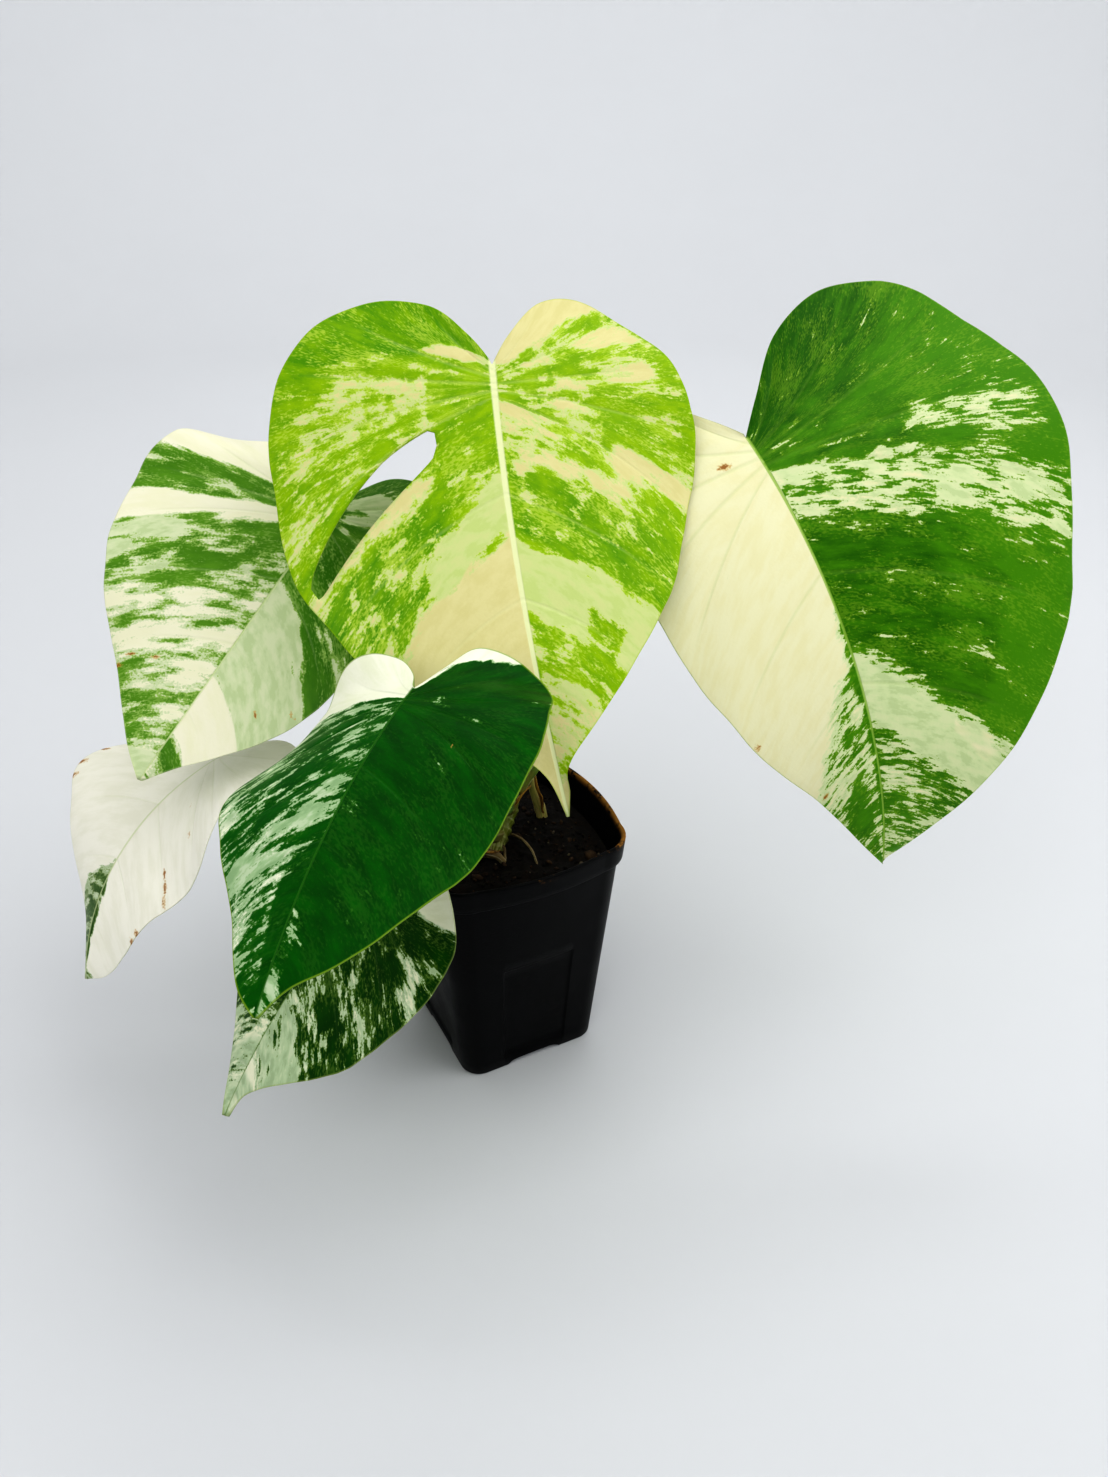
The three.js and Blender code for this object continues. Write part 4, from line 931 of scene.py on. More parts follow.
def leafMaterial(name, leaf):
    # A living aroid leaf: a waxy skin with a soft sheen over fleshy tissue. Where the tissue lacks
    # chlorophyll it is cream or sage, in feathered streaks that follow the veins, with lighter green
    # between them and the full green.
    tones = {key: linearColour(text) for key, text in leaf["tones"].items()}
    brown, tan = linearColour(leafLook["spotBrown"]), linearColour(leafLook["spotRim"])
    material, tree = newMaterial("waxy_leaf_" + name, {"Specular IOR Level": 0.12, "IOR": 1.45})
    field = {key: add(tree, "Attribute", out="Fac", attribute_name=key)
             for key in ("cream", "sage", "deep", "edge", "spot", "spread", "under", "s")}
    veins = add(tree, "UVMap", uv_map="veins")
    flat = add(tree, "UVMap", uv_map="flat")

    # Streaks lie along the veins. By the joint the veins close up, so a map over the flat blade takes
    # over there.
    nearMargin = add(tree, "MapRange", [field["spread"], 0.25, 0.8, 0, 1], **smooth)
    streaks = {}
    for shift, key in enumerate(("fine", "broad")):
        wide, long = (10 / (size * leaf["grain"]) for size in leafLook[key])
        pair = []
        for place, closer in ((flat, 1.6), (veins, 1)):
            stretched = add(tree, "Mapping", {
                "Vector": place, "Scale": (wide / closer, long / leaf["stretch"], 1),
                "Location": (leaf["seed"] + 5 * shift + closer, 9 * shift, 0)})
            streak = {"Vector": stretched, "Scale": 1.0, "Detail": 4.0, "Roughness": 0.6}
            pair.append(add(tree, "TexNoise", streak, noise_dimensions="2D"))
        streaks[key] = add(tree, "Mix", {0: nearMargin, 2: pair[0], 3: pair[1]})
    noises = {}
    for key, shift, detail, rough in (("drift", (leaf["seed"], 2, 0), 2.0, 0.5),
                                      ("blotch", (leaf["seed"], 7, 0), 4.0, 0.55),
                                      ("dash", (3, leaf["seed"], 0), 1.5, 0.5)):
        wide, long = (10 / size for size in leafLook[key])
        placed = add(tree, "Mapping", {"Vector": veins, "Scale": (wide, long, 1), "Location": shift})
        noises[key] = add(tree, "TexNoise", {
            "Vector": placed, "Scale": 1.0, "Detail": detail, "Roughness": rough}, noise_dimensions="2D")
    drift, blotch, dash = noises.values()
    speck = add(tree, "TexNoise", {"Vector": flat, "Scale": 10 / leafLook["speck"], "Detail": 2.0},
                noise_dimensions="2D")

    # Cover is how far the tissue lacks green: the painted field plus the streaks about their middle
    # (a coarser grain leans on the broad streaks). Where the painted value nears 1 nothing frays it.
    fineWeight, broadWeight, driftWeight, speckWeight = leafLook["weights"]
    fineWeight /= leaf["grain"]
    broadWeight *= math.sqrt(leaf["grain"])
    centre = (fineWeight + broadWeight + driftWeight + speckWeight) / 2
    ragged = add(tree, "Math", [streaks["fine"], fineWeight, -centre], operation="MULTIPLY_ADD")
    for noise, weight in ((streaks["broad"], broadWeight), (drift, driftWeight), (speck, speckWeight)):
        ragged = add(tree, "Math", [noise, weight, ragged], operation="MULTIPLY_ADD")
    painted = add(tree, "Math", [field["cream"], field["sage"]], operation="MAXIMUM")
    whole = add(tree, "MapRange", [painted, 0.7, 1.0, 0, 0.9])
    lacking = add(tree, "Math", [painted, whole], operation="ADD")
    cover = add(tree, "Math", [lacking, ragged], operation="ADD")
    lead = add(tree, "Math", [field["sage"], field["cream"]], operation="SUBTRACT")
    leadNoise = add(tree, "Math", [drift, 2.4, -1.2], operation="MULTIPLY_ADD")
    noisyLead = add(tree, "Math", [lead, leadNoise], operation="ADD")
    sagePlace = add(tree, "MapRange", [noisyLead, -0.25, 0.25, 0, 1], **smooth)
    thin = add(tree, "MapRange", [cover, 0.1, leaf["core"], 1, 0], **smooth)
    sageShare = add(tree, "Math", [sagePlace, thin], operation="MAXIMUM")

    # Green tissue: deep and mid green by region, pale dashes, and lighter green where cover rises
    depthNoise = add(tree, "Math", [streaks["broad"], 2.0, -1.0], operation="MULTIPLY_ADD")
    depth = add(tree, "Math", [depthNoise, field["deep"]], operation="ADD", use_clamp=True)
    green = add(tree, "Mix", {0: depth, 6: tones["green"], 7: tones["deep"]}, **rgba)
    dashLevel = add(tree, "Math", [drift, 0.9, dash], operation="MULTIPLY_ADD")
    dashed = tinted(tree, green, tones["fleck"], dashLevel, 0.92, 1.18, 0, leaf["flecks"])
    lighter = tinted(tree, dashed, tones["fleck"], cover, -0.45, -0.1, 0, 0.75)
    haloed = tinted(tree, lighter, tones["sage"], cover, -0.16, 0.02, 0, 1)

    # Tissue without green: smooth cream, or sage marbled with darker and paler blotches
    cream = tinted(tree, tones["cream"], tones["shade"], streaks["broad"], 0.35, 0.7, 0, 0.5)
    darker = tinted(tree, tones["sage"], tones["green"], blotch, 0.38, 0.52, 0.4 * leaf["marble"], 0)
    sage = tinted(tree, darker, tones["cream"], blotch, 0.5, 0.64, 0, 0.6 * leaf["marble"])
    pale = add(tree, "Mix", {0: sageShare, 6: cream, 7: sage}, **rgba)
    paleMask = add(tree, "MapRange", [cover, 0.0, 0.16, 0, 1], **smooth)
    tissue = add(tree, "Mix", {0: paleMask, 6: haloed, 7: pale}, **rgba)

    # Veins: the midrib tapers to the tip, and the side veins are faint lines
    flatPlace = add(tree, "SeparateXYZ", [flat], out="X")
    across = add(tree, "Math", [flatPlace.node.outputs["Y"]], operation="ABSOLUTE")
    first, last, strength = leaf["rib"]
    ribWidth = add(tree, "MapRange", [flatPlace, 0, leaf["length"] / 10, first / 10, last / 10])
    ribShare = add(tree, "Math", [across, ribWidth], operation="DIVIDE")
    rib = add(tree, "MapRange", [ribShare, 0.6, 1.3, 1, 0], **smooth)
    ribTint = add(tree, "Math", [rib, strength], operation="MULTIPLY")
    stations = add(tree, "Math", [field["s"], float(blade["sideVeins"])], operation="MULTIPLY")
    between = add(tree, "Math", [stations, 0.5], operation="PINGPONG")
    perStation = add(tree, "Math", [field["spread"], 300.0 / blade["sideVeins"]], operation="MULTIPLY")
    toVein = add(tree, "Math", [between, perStation], operation="MULTIPLY")
    sideVein = add(tree, "MapRange", [toVein, 0.1, 1.1, 1, 0], **smooth)
    clear = add(tree, "MapRange", [field["edge"], 4.0, 30.0, 0, 1], **smooth)
    veinMask = add(tree, "Math", [sideVein, clear], operation="MULTIPLY")
    tint = add(tree, "Math", [veinMask, leafLook["veinTint"]], operation="MULTIPLY")
    veined = add(tree, "Mix", {0: tint, 6: tissue, 7: tones["midrib"]}, **rgba)
    ribbed = add(tree, "Mix", {0: ribTint, 6: veined, 7: tones["midrib"]}, **rgba)

    # The thin clear margin, dry brown spots and the duller under face
    edged = tinted(tree, ribbed, tones["edge"], field["edge"], 0.15, 0.6, leaf["edging"], 0)
    spotNoise = add(tree, "Math", [speck, 1.2, field["spot"]], operation="MULTIPLY_ADD")
    rimmed = tinted(tree, edged, tan, spotNoise, 0.6, 0.9, 0, 0.6)
    spotted = tinted(tree, rimmed, brown, spotNoise, 0.95, 1.2, 0, 0.85)
    dull = add(tree, "Math", [field["under"], leafLook["underTint"]], operation="MULTIPLY")
    colour = add(tree, "Mix", {0: dull, 6: spotted, 7: tones["under"]}, **rgba)

    # Gloss and relief: the veins sink into the upper face and stand out of the under face
    waxy = add(tree, "Mix", {0: paleMask, 2: leafLook["gloss"], 3: leafLook["paleGloss"]})
    rough = add(tree, "Math", [field["under"], leafLook["underDuller"], waxy], operation="MULTIPLY_ADD")
    network = add(tree, "TexVoronoi", {"Vector": flat, "Scale": 10 / leafLook["network"]}, out="Distance",
                  feature="DISTANCE_TO_EDGE", voronoi_dimensions="2D")
    cells = add(tree, "MapRange", [network, 0.0, 0.3, -0.05, 0], **smooth)
    grooves = add(tree, "Math", [veinMask, -0.5, cells], operation="MULTIPLY_ADD")
    deepRib = add(tree, "Math", [rib, -0.7, grooves], operation="MULTIPLY_ADD")
    facing = add(tree, "Math", [field["under"], -2.0, 1.0], operation="MULTIPLY_ADD")
    relief = add(tree, "Math", [deepRib, facing], operation="MULTIPLY")
    height = add(tree, "Math", [speck, 0.12, relief], operation="MULTIPLY_ADD")
    return finishMaterial(material, colour, rough, height, 0.6, 0.0004)


# Stem, leaf stalks and roots. A stalk leaves the stem at the share "from" of its length, or comes
# out of the soil, passes the points of its route, rises by "reach" to its blade and runs on as the
# midrib.

stem = {
    "route": [(-10, -12, 84), (-7, -8, 101), (0, -2, 110), (7, 4, 117), (10, 7, 127)],
    "radii": (4.2, 4.6, 4.8, 4.6, 3.6), "rows": 110, "sides": 36,
    "cap": 3,  # mm over which the top rounds off
    "scars": (0.42, 0.5, 0.58, 0.66, 0.76, 0.86),  # where leaves sat or still sit
    "body": "#6f7a2a", "streak": "#b9bb7a", "foot": "#6b4a26",
}
stalks = {
    "petiole_center": {
        "leaf": "leaf_center", "slot": "cream_petiole", "radius": 2.3, "top": 1.7, "reach": 16,
        "route": [(27, 7, 84), (25, 7, 102), (21, 9, 122), (16, 20, 180), (14, 33, 245)],
        "body": "#dccd86", "streak": "#b9bd6a", "foot": "#a98a4a",
    },
    "petiole_right": {
        "leaf": "leaf_right", "slot": "green_stem", "radius": 2.4, "top": 1.8, "reach": 16, "from": 0.93,
        "route": [(26, 2, 142), (58, 2, 196), (84, 0, 236)],
        "body": "#6f8f35", "streak": "#d9d8a4", "foot": "#8a7a3c",
    },
    "petiole_left": {
        "leaf": "leaf_left", "slot": "green_stem", "radius": 2.3, "top": 1.6, "reach": 14, "from": 0.86,
        "route": [(-4, 24, 140), (-22, 48, 185), (-33, 58, 218)],
        "body": "#8fa55a", "streak": "#dedcb6", "foot": "#8f8348",
    },
    "petiole_outer_white": {
        "leaf": "leaf_outer_white", "slot": "green_stem", "radius": 2.1, "top": 1.3, "reach": 10,
        "from": 0.66,
        "route": [(-18, 16, 128), (-52, 31, 146), (-80, 38, 149)],
        "body": "#b3b886", "streak": "#e2dfc4", "foot": "#8f8552",
    },
    "petiole_front_dark": {
        "leaf": "leaf_front_dark", "slot": "green_stem", "radius": 2.3, "top": 1.6, "reach": 12,
        "from": 0.76,
        "route": [(-8, -22, 134), (-48, -62, 182), (-62, -76, 205)],
        "body": "#4f7a2a", "streak": "#a9b878", "foot": "#7b6b34",
    },
    "petiole_lower_front": {
        "leaf": "leaf_lower_front", "slot": "green_stem", "radius": 2.0, "top": 1.3, "reach": 9,
        "from": 0.5,
        "route": [(-18, -20, 121), (-36, -29, 127), (-50, -36, 122)],
        "body": "#628238", "streak": "#c6c890", "foot": "#7d6f38",
    },
}
stalkForm = {
    "rows": 150, "sides": 28,
    "groove": 0.17, "shoulder": 0.07,  # shares of the radius
    "wing": 0.6, "wingLength": 34,  # mm of old sheath above the foot
    "joint": 13, "swell": 0.24,  # the swollen joint under the blade
    "tail": 16, "tailTaper": 0.62,  # mm that the stalk runs on under the midrib, and how far it thins
    "under": ((3, 1.6), (8, 1.5), (16, 0.9)),  # u and mm below the blade of the last points of a route
    "turn": 2.25,  # mm below the blade from which the reach is measured
    "sunk": 2.6,  # mm from the stem's middle to a stalk's first point
    "pale": "#c9cf92",  # of the swollen joint
}


def smoothRoute(points, rows):
    # A centripetal Catmull-Rom curve, whose knots lie the square root of the distance apart, read
    # off at even lengths. Gives its points, its directions and the length run.
    p = np.array(points, float)
    p = np.vstack([2 * p[0] - p[1], p, 2 * p[-1] - p[-2]])
    knot = np.sqrt(np.linalg.norm(np.diff(p, axis=0), axis=1))
    t = np.linspace(0, len(points) - 1, 80 * len(points))
    k = np.minimum(t.astype(int), len(points) - 2)
    w = (t - k)[:, None]
    before, here, there, beyond = p[k], p[k + 1], p[k + 2], p[k + 3]
    first, middle, last = (knot[k + n][:, None] for n in range(3))
    leave = (here - before) / first - (there - before) / (first + middle) + (there - here) / middle
    arrive = (there - here) / middle - (beyond - here) / (middle + last) + (beyond - there) / last
    leave, arrive = leave * middle, arrive * middle
    curve = here + leave * w + (3 * there - 3 * here - 2 * leave - arrive) * w ** 2
    curve += (2 * here - 2 * there + leave + arrive) * w ** 3
    run = np.concatenate([[0], np.cumsum(np.linalg.norm(np.diff(curve, axis=0), axis=1))])
    even = np.linspace(0, run[-1], rows)
    path = np.stack([np.interp(even, run, curve[:, n]) for n in range(3)], axis=1)
    direction = np.gradient(path, axis=0)
    return path, direction / np.linalg.norm(direction, axis=1, keepdims=True), even


def easedThrough(values, share):
    # Eases through evenly spaced values
    place = share * (len(values) - 1)
    k = np.minimum(place.astype(int), len(values) - 2)
    values = np.array(values, float)
    return values[k] + (values[k + 1] - values[k]) * ease(place - k)


def tubeRings(path, direction, side, radius):
    # Rings square to the path: side * cos(angle) + (direction x side) * sin(angle), times a radius
    # given as rows by angles
    side = side - direction * (side * direction).sum(1, keepdims=True)
    side /= np.linalg.norm(side, axis=1, keepdims=True)
    rear = np.cross(direction, side)
    angle = ringAngles(radius.shape[1])
    turned = side[:, None] * np.cos(angle)[:, None] + rear[:, None] * np.sin(angle)[:, None]
    return path[:, None] + turned * radius[..., None]


def tubeValues(run, joint, count):
    # The map around, turns round the tube and cm along it, and the fields run in mm and joint, for
    # each ring point and then for the two end points of a closed skin
    def spread(row):
        return np.concatenate([np.repeat(row, count), [row[0], row[-1]]])

    turn = np.concatenate([np.tile(ringAngles(count), len(run)), [0, 0]])
    values = {"run": spread(run), "joint": spread(joint)}
    return np.stack([turn / math.tau, values["run"] / 10], axis=1), values


def stalkRoute(stalk):
    # The points that a stalk passes, and the direction across its blade that fixes its groove
    leaf = leaves[stalk["leaf"]]
    u, depth = np.array(stalkForm["under"], float).T
    place, up = bladeSurface(leaf, u, 0 * u, "right")
    end = place[0] - up[0] * stalkForm["turn"]
    turn = end - up[0] * stalk["reach"]
    route = [np.array(p, float) for p in stalk["route"]]
    if "from" in stalk:
        path, direction, _ = smoothRoute(stem["route"], 400)
        k = round(stalk["from"] * 399)
        aim = (route[0] - path[k]) / np.linalg.norm(route[0] - path[k])
        radial = aim - direction[k] * (aim @ direction[k])
        route.insert(0, path[k] + radial / np.linalg.norm(radial) * stalkForm["sunk"])
    route += [turn, end - up[0] * depth[0], *(place - up * depth[:, None])[1:]]
    return route, midribFrames(leaf, np.array([0.0]))[1][0]


def livingStalk(name, look, gloss):
    # A fleshy green stalk under a smooth waxy skin: a soft sheen, fine lengthwise streaks where the
    # tissue lacks green, a drier foot and a paler swollen joint under the blade
    body, stripe, brown = (linearColour(look[key]) for key in ("body", "streak", "foot"))
    material, tree = newMaterial("waxy_stalk_" + name, {
        "IOR": 1.45, "Specular IOR Level": 0.35, "Subsurface Weight": 0.1, "Subsurface Scale": 0.002,
        "Subsurface Radius": (1.0, 1.0, 0.4)})
    around = add(tree, "UVMap", uv_map="around")
    place = add(tree, "TexCoord", out="Object")
    run = add(tree, "Attribute", out="Fac", attribute_name="run")
    joint = add(tree, "Attribute", out="Fac", attribute_name="joint")
    lines = add(tree, "Mapping", {"Vector": around, "Scale": (14, 0.45, 1)})  # 1 mm by 22 mm streaks
    streak = add(tree, "TexNoise", {"Vector": lines, "Scale": 1.0, "Detail": 4.0, "Roughness": 0.6})
    streaked = tinted(tree, body, stripe, streak, 0.5, 0.6, 0, 0.75)
    speck = add(tree, "TexNoise", {"Vector": place, "Scale": 1500.0, "Detail": 2.0})  # 0.7 mm specks
    specked = tinted(tree, streaked, brown, speck, 0.58, 0.68, 0, 0.35)
    cloud = add(tree, "TexNoise", {"Vector": place, "Scale": 160.0, "Detail": 3.0})
    reach = add(tree, "Math", [cloud, 26.0, -8.0], operation="MULTIPLY_ADD")
    foot = add(tree, "Math", [run, reach], operation="SUBTRACT")
    dry = add(tree, "MapRange", [foot, -3.0, 9.0, 0.7, 0], **smooth)
    footed = add(tree, "Mix", {0: dry, 6: specked, 7: brown}, **rgba)
    pale = add(tree, "Math", [joint, 0.35], operation="MULTIPLY")
    jointed = add(tree, "Mix", {0: pale, 6: footed, 7: linearColour(stalkForm["pale"])}, **rgba)
    rough = add(tree, "MapRange", [dry, 0, 0.7, gloss, 0.7])
    height = add(tree, "Math", [streak, 0.8, speck], operation="MULTIPLY_ADD")
    return finishMaterial(material, jointed, rough, height, 0.3, 0.0003)


def addStalk(name):
    # radius = r(run) * (1 - groove + shoulders + wings + wrinkles): the groove lies along the rear,
    # at angle 90 degrees, with a shoulder on either side; at the foot the shoulders grow into the
    # two wings of the old sheath, and under the blade fine rings wrinkle the swollen joint
    stalk = stalks[name]
    route, side = stalkRoute(stalk)
    path, direction, even = smoothRoute(route, stalkForm["rows"])
    length = even[-1]
    radius, top = stalk["radius"], stalk["top"]
    bladeAt = length - stalkForm["tail"] - 1
    share = np.clip(even / bladeAt, 0, 1)
    widths = (radius * 1.2, radius, radius * 0.9, (radius + top) / 2, top, top * 1.1, top)
    along = easedThrough(widths, share)
    flare = 0.45 * np.exp(-(even / 5.5) ** 2) if "from" in stalk else 0 * even
    joint = ease((even - bladeAt + stalkForm["joint"]) / 3) * ease((bladeAt + 1 - even) / 3)
    tail = 1 - stalkForm["tailTaper"] * ease((even - bladeAt) / stalkForm["tail"])
    along = along * (1 + flare + stalkForm["swell"] * joint) * tail
    angle = ringAngles(stalkForm["sides"])
    off = np.abs(angle - math.pi / 2)
    off = np.minimum(off, math.tau - off)
    groove = stalkForm["groove"] * np.exp(-(off / 0.36) ** 2)
    shoulder = np.exp(-((off - 0.72) / 0.26) ** 2)
    wing = stalkForm["wing"] * ease((stalkForm["wingLength"] - even) / 12) * ease(even / 3)
    raised = stalkForm["shoulder"] + wing * (0.8 + 0.2 * np.sin(even * 0.9))
    wrinkle = 0.035 * joint * np.sin(even * math.tau / 1.5)
    shape = 1 - groove * (1 - joint)[:, None] + shoulder * raised[:, None] + wrinkle[:, None]
    lumps = 0.02 * waveNoise(even[:, None] / 9, angle[None] * 0.6, seed=len(name))
    rings = tubeRings(path, direction, np.tile(side, (len(path), 1)), along[:, None] * (shape + lumps))
    points, faces = closedSkin(rings)
    around, values = tubeValues(even, joint, stalkForm["sides"])
    makePiece(name + "_stalk", points, faces, livingStalk(name, stalk, 0.38),
              nodes=[name], maps={"around": around}, values=values)


def addStem():
    # radius = r(share) * (1 + a ring and a dip at each leaf scar) * (1 + slight lengthwise ribs),
    # rounded off at the top by sqrt(1 - x^2)
    path, direction, even = smoothRoute(stem["route"], stem["rows"])
    share = even / even[-1]
    angle = ringAngles(stem["sides"])
    radius = easedThrough(stem["radii"], share)
    scars = sum(0.1 * np.exp(-((share - scar) * even[-1] / 0.7) ** 2) for scar in stem["scars"])
    dips = sum(0.07 * np.exp(-(((share - scar) * even[-1] - 1.6) / 0.8) ** 2) for scar in stem["scars"])
    rounding = (even - even[-1] + stem["cap"]) / (stem["cap"] + 0.02)
    cap = np.sqrt(np.clip(1 - rounding.clip(0) ** 2, 0.0004, 1))
    ribs = 0.025 * np.cos(9 * angle[None] + 4 * share[:, None])
    ribs = ribs + 0.03 * waveNoise(even[:, None] / 6, angle[None], 5)
    rings = tubeRings(path, direction, np.tile([1.0, -1.0, 0.0], (len(path), 1)),
                      (radius * (1 + scars - dips) * cap)[:, None] * (1 + ribs))
    points, faces = closedSkin(rings)
    around, values = tubeValues(even + 14, scars * 4, stem["sides"])  # starts past the dry foot
    makePiece("main_stem", points, faces, livingStalk("main_stem", stem, 0.3),
              nodes=["stem"], maps={"around": around}, values=values)


# Roots and the dry remains of old sheaths

crown = {
    # route and the radius at its start, middle and end
    "roots": [([(-14.5, -7.6, 101.5), (-12.5, -9.8, 105.2), (-8, -14, 106), (-4.6, -17, 102)],
               (1.4, 2.0, 1.5)),
              ([(3, -7, 109), (4.8, -13.7, 110), (6.4, -20, 107.5), (6.8, -24.5, 102.5)],
               (0.7, 0.55, 0.45)),
              ([(-2, -6, 105), (-2.5, -11, 106), (-4, -15, 104.5), (-5, -19, 101.5)], (0.8, 0.6, 0.5)),
              ([(-9, -3, 104), (-14, 2, 106), (-18, 5, 104.5), (-21, 6, 101.5)], (1.0, 0.8, 0.6)),
              ([(3, 7, 111), (3, 13, 109), (0, 18, 106), (-3, 22, 101.5)], (0.8, 0.7, 0.5))],
    "rootRows": 46, "rootSides": 12,
    "root": {"body": "#83704a", "streak": "#e0d6b4", "foot": "#402c19"},
    # route, width and the way its edges curl
    "sheaths": [([(23, 3.5, 108), (22.5, 3.6, 114), (20.5, 3.2, 121), (19, 2.2, 129)], 3.6, 1),
                ([(3, 1, 113), (6, -1, 118), (10, -2, 124), (14, -4, 129)], 3.0, -1),
                ([(-6, -12, 106), (-11, -17, 110), (-16, -20, 114), (-21, -22, 116)], 2.6, 1)],
    "sheathRows": 40, "sheathColumns": 11, "sheathThickness": 0.25,
    "papery": "#b58a3e", "paperyDark": "#5f3d18",
}


def addRoots():
    # Thin tubes: radius = r(share) * (1 + 0.12 * wave)
    rows, sides = crown["rootRows"], crown["rootSides"]
    shapes, arounds, runs = [], [], []
    for number, (route, radii) in enumerate(crown["roots"]):
        path, direction, even = smoothRoute(route, rows)
        radius = easedThrough(radii, even / even[-1])[:, None]
        wave = waveNoise(even[:, None] / 3, ringAngles(sides)[None] * 0.8, 20 + number)
        radius = radius * (1 + 0.12 * wave)
        rings = tubeRings(path, direction, np.tile([0.3, 0.2, 1.0], (rows, 1)), radius)
        shapes.append(closedSkin(rings))
        around, values = tubeValues(even, 0 * even, sides)
        arounds.append(around)
        runs.append(values["run"])
    points, faces = mergeShapes(shapes)
    run = np.concatenate(runs)
    makePiece("roots", points, faces, livingStalk("roots", crown["root"], 0.6),
              maps={"around": np.vstack(arounds)}, values={"run": run, "joint": 0 * run})


def paperySheath():
    # Dry sheath: papery golden brown skin with darker fibres along it
    material, tree = newMaterial("dry_papery_sheath", {"Specular IOR Level": 0.3})
    around = add(tree, "UVMap", uv_map="around")
    fibres = add(tree, "Mapping", {"Vector": around, "Scale": (12, 0.9, 1)})  # 0.5 mm fibres
    fibre = add(tree, "TexNoise", {"Vector": fibres, "Scale": 1.0, "Detail": 4.0})
    tan, brown = linearColour(crown["papery"]), linearColour(crown["paperyDark"])
    colour = tinted(tree, tan, brown, fibre, 0.42, 0.62, 0, 0.85)
    rough = add(tree, "MapRange", [fibre, 0.3, 0.7, 0.5, 0.75])
    return finishMaterial(material, colour, rough, fibre, 0.5, 0.0004)


def addSheaths():
    # Narrow strips carried along a route and curled across by an arc of 2 to 3 radians, which get
    # narrower to a ragged end: half width = w * (1 - 0.75 x^2) * a torn wave. Solidify thickens them.
    rows, columns = crown["sheathRows"], crown["sheathColumns"]
    shapes, maps = [], []
    for number, (route, width, hand) in enumerate(crown["sheaths"]):
        path, direction, even = smoothRoute(route, rows)
        share = (even / even[-1])[:, None]
        t = np.linspace(-1, 1, columns)[None]
        side = np.cross(direction, [0.0, 0.0, 1.0])
        side /= np.linalg.norm(side, axis=1, keepdims=True)
        up = np.cross(side, direction)
        torn = 1 + 0.12 * waveNoise(share * 9, t * 0.4, 40 + number)
        half = width / 2 * (1 - 0.75 * share ** 2) * torn
        curl = 1.0 + 0.5 * share
        out, rise = half * np.sin(curl * t) / curl, hand * half * (1 - np.cos(curl * t)) / curl
        points = path[:, None] + side[:, None] * out[..., None] + up[:, None] * rise[..., None]
        shapes.append((points.reshape(-1, 3), gridFaces(rows, columns).tolist()))
        maps.append(np.stack(np.broadcast_arrays(t * width / 20, even[:, None] / 10), -1).reshape(-1, 2))
    points, faces = mergeShapes(shapes)
    piece = makePiece("dry_sheaths", points, faces, paperySheath(),
                      maps={"around": np.vstack(maps)})
    wall = piece.modifiers.new("thickness", "SOLIDIFY")
    wall.thickness = crown["sheathThickness"] * mm
    wall.offset = 0


# Soil: dark damp potting mix of peat and composted bark, with crumbs and chips on top

soil = {
    "top": 101, "dome": 3, "clearance": 0.5,  # mm
    # of each kind of lump the count, least and greatest size, seed, flatness and how far out it lies
    "crumbs": (620, 0.9, 2.6, 11, (0.5, 0.9), 38),
    "chips": (46, 3.5, 8.0, 12, (0.25, 0.45), 34),
    "grit": (40, 0.9, 2.2, 13, (0.7, 0.95), 37),
    "barkEvery": 3,  # one crumb in so many is bark
    "peat": "#110d09", "peatPale": "#241a12", "bark": "#2d2016", "barkPale": "#4d3a28",
    "pumice": "#766d5c",
}


def soilHeight(x, y):
    # A low dome, long and short waves and a small mound round the stem
    lump = 0.7 * np.sin(0.31 * x + 1.3) * np.cos(0.27 * y - 0.4)
    lump += 0.45 * np.sin(0.63 * x - 0.5 * y + 0.8) + 0.3 * np.cos(0.9 * y + 0.4 * x)
    share = np.clip(np.hypot(x, y) / 44, 0, 1)
    fine = 0.5 * waveNoise(x / 3.2, y / 3.2, 3, waves=14) + 0.3 * waveNoise(x / 1.3, y / 1.3, 4, waves=18)
    mound = 1.2 * np.exp(-((x + 3) ** 2 + (y + 4) ** 2) / 90)
    return soil["top"] + soil["dome"] * (1 - share ** 2) + (lump * 0.8 + fine) * (1 - share ** 6) + mound


def soilBody():
    # The pot's inside, then rings drawn in towards the middle over the top, z = soilHeight(x, y)
    inset = pot["wall"] + soil["clearance"]
    low, high = pot["panel"]
    z = [pot["floor"] + 0.5, low, high, pot["insideBend"], soil["top"] - 1.5]
    sides = potRings(z, [inset + pot["recess"]] * 3 + [inset] * 2, [0] * 5)
    edge = potRings([soil["top"]], [inset + 0.4], [0])[0]
    share = np.linspace(1, 0.01, 64)[:, None]
    x, y = edge[:, 0] * share, edge[:, 1] * share
    top = np.stack([x, y, soilHeight(x, y)], axis=-1)
    return closedSkin(np.concatenate([sides, top]))


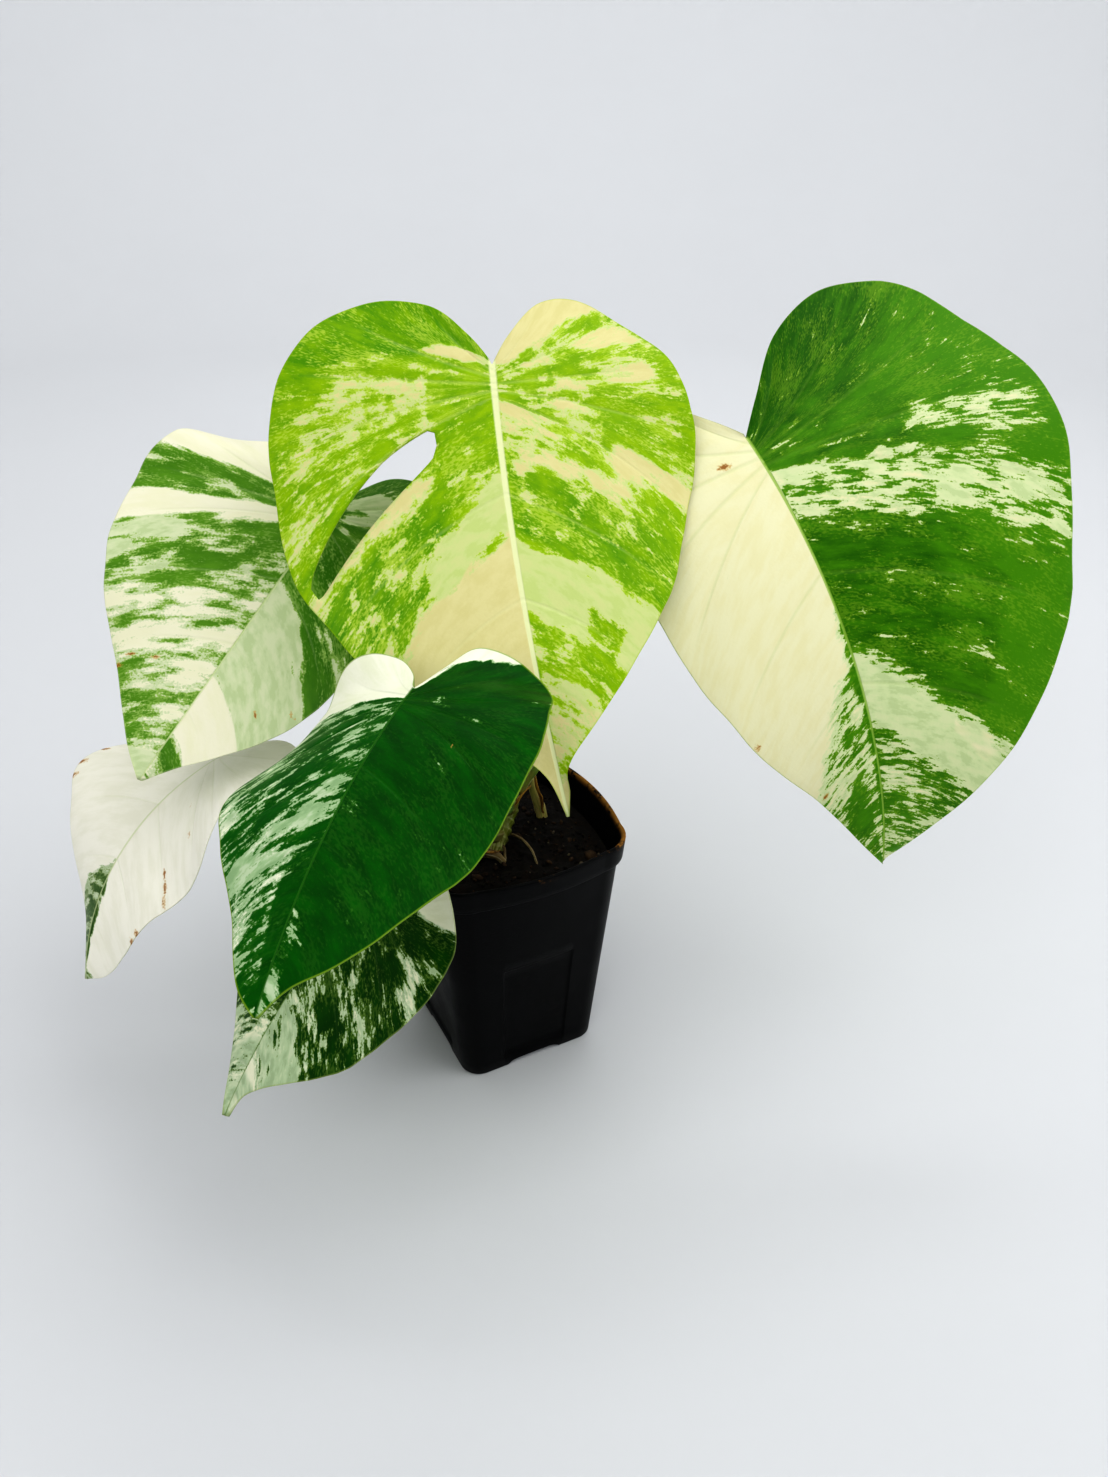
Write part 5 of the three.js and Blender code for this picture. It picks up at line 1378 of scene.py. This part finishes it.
def scatteredLumps(count, low, high, seed, flatness, spread):
    # Lumps of 20 faces: the corners of an icosahedron moved in and out, stretched, turned at random
    # and sunk to a third in the soil
    random = np.random.default_rng(seed)
    golden = (1 + math.sqrt(5)) / 2
    corners = np.array([(-1, golden, 0), (1, golden, 0), (-1, -golden, 0), (1, -golden, 0),
                        (0, -1, golden), (0, 1, golden), (0, -1, -golden), (0, 1, -golden),
                        (golden, 0, -1), (golden, 0, 1), (-golden, 0, -1), (-golden, 0, 1)])
    corners = corners / math.hypot(1, golden)
    faces = np.array([(0, 11, 5), (0, 5, 1), (0, 1, 7), (0, 7, 10), (0, 10, 11), (1, 5, 9), (5, 11, 4),
                      (11, 10, 2), (10, 7, 6), (7, 1, 8), (3, 9, 4), (3, 4, 2), (3, 2, 6), (3, 6, 8),
                      (3, 8, 9), (4, 9, 5), (2, 4, 11), (6, 2, 10), (8, 6, 7), (9, 8, 1)])
    place = random.uniform(-spread, spread, (count, 2))
    size = low + (high - low) * random.random(count) ** 2.5
    stretch = [np.ones(count), random.uniform(0.5, 0.9, count), random.uniform(*flatness, count)]
    stretch = np.stack(stretch, 1)
    lump = corners[None] * random.uniform(0.75, 1.2, (count, 12, 1))
    lump = lump * (stretch * size[:, None] / 2)[:, None]
    spin, lean = random.uniform(0, math.tau, count), random.normal(0, 0.45, count)
    x, y, z = lump[..., 0], lump[..., 1], lump[..., 2]
    cos, sin = np.cos(lean)[:, None], np.sin(lean)[:, None]
    x, z = x * cos + z * sin, z * cos - x * sin
    cos, sin = np.cos(spin)[:, None], np.sin(spin)[:, None]
    x, y = x * cos - y * sin, x * sin + y * cos
    ground = soilHeight(place[:, 0], place[:, 1]) + size * stretch[:, 2] * 0.15
    points = np.stack([x + place[:, :1], y + place[:, 1:], z + ground[:, None]], axis=-1)
    allFaces = faces[None] + np.arange(count)[:, None, None] * 12
    return points.reshape(-1, 3), allFaces.reshape(-1, 3).tolist(), np.repeat(random.random(count), 12)


def pottingMix():
    # Potting mix: damp, nearly black peat with redder bark and a few pale grains of pumice. The
    # attribute kind is 0 for peat, 1 for bark and 2 for pumice, and tint varies from lump to lump.
    tones = {key: linearColour(soil[key]) for key in ("peat", "peatPale", "bark", "barkPale", "pumice")}
    material, tree = newMaterial("potting_mix", {"Specular IOR Level": 0.25})
    place = add(tree, "TexCoord", out="Object")
    kind = add(tree, "Attribute", out="Fac", attribute_name="kind")
    tint = add(tree, "Attribute", out="Fac", attribute_name="tint")
    # Grains of 2 mm and finer
    grain = add(tree, "TexNoise", {"Vector": place, "Scale": 600.0, "Detail": 6.0, "Roughness": 0.7})
    cloud = add(tree, "TexNoise", {"Vector": place, "Scale": 120.0, "Detail": 3.0})
    mix = add(tree, "Math", [grain, cloud], operation="MULTIPLY")
    peat = tinted(tree, tones["peat"], tones["peatPale"], mix, 0.22, 0.4, 0, 0.9)
    fibres = add(tree, "Mapping", {"Vector": place, "Scale": (700, 180, 700)})
    fibre = add(tree, "TexNoise", {"Vector": fibres, "Scale": 1.0, "Detail": 3.0})
    barkShare = add(tree, "Math", [fibre, tint], operation="MULTIPLY")
    barkLight = add(tree, "MapRange", [barkShare, 0.15, 0.5, 0, 1])
    bark = add(tree, "Mix", {0: barkLight, 6: tones["bark"], 7: tones["barkPale"]}, **rgba)
    isBark = add(tree, "MapRange", [kind, 0.4, 0.6, 0, 1])
    withBark = add(tree, "Mix", {0: isBark, 6: peat, 7: bark}, **rgba)
    isPumice = add(tree, "MapRange", [kind, 1.4, 1.6, 0, 0.8])
    colour = add(tree, "Mix", {0: isPumice, 6: withBark, 7: tones["pumice"]}, **rgba)
    rough = add(tree, "MapRange", [cloud, 0.3, 0.7, 0.7, 0.95])
    return finishMaterial(material, colour, rough, grain, 0.6, 0.0008)


def addSoil():
    # kind is 0 on the body, 0 or 1 on the crumbs, 1 on the chips of bark and 2 on the grit
    body = soilBody()
    crumbs, chips, grit = (scatteredLumps(*soil[key]) for key in ("crumbs", "chips", "grit"))
    points, faces = mergeShapes([body, crumbs[:2], chips[:2], grit[:2]])
    barkCrumb = np.arange(len(crumbs[0])) // 12 % soil["barkEvery"] == 0  # 12 points a lump
    plain = np.zeros(len(body[0]))
    kind = np.concatenate([plain, barkCrumb, np.full(len(chips[0]), 1), np.full(len(grit[0]), 2)])
    tint = np.concatenate([plain, crumbs[2], chips[2], grit[2]])
    makePiece("potting_soil", points, faces, pottingMix(), nodes=["soil"],
              values={"kind": kind, "tint": tint})


addCamera()
addLights()
addFloor()
print("camera, lights and floor")
addPot()
print("pot")
addSoil()
print("soil")
addStem()
for stalkName in stalks:
    addStalk(stalkName)
addRoots()
addSheaths()
print("stem, stalks, roots and dry sheaths")
for leafName in leaves:
    addLeaf(leafName)
    print("blade", leafName)
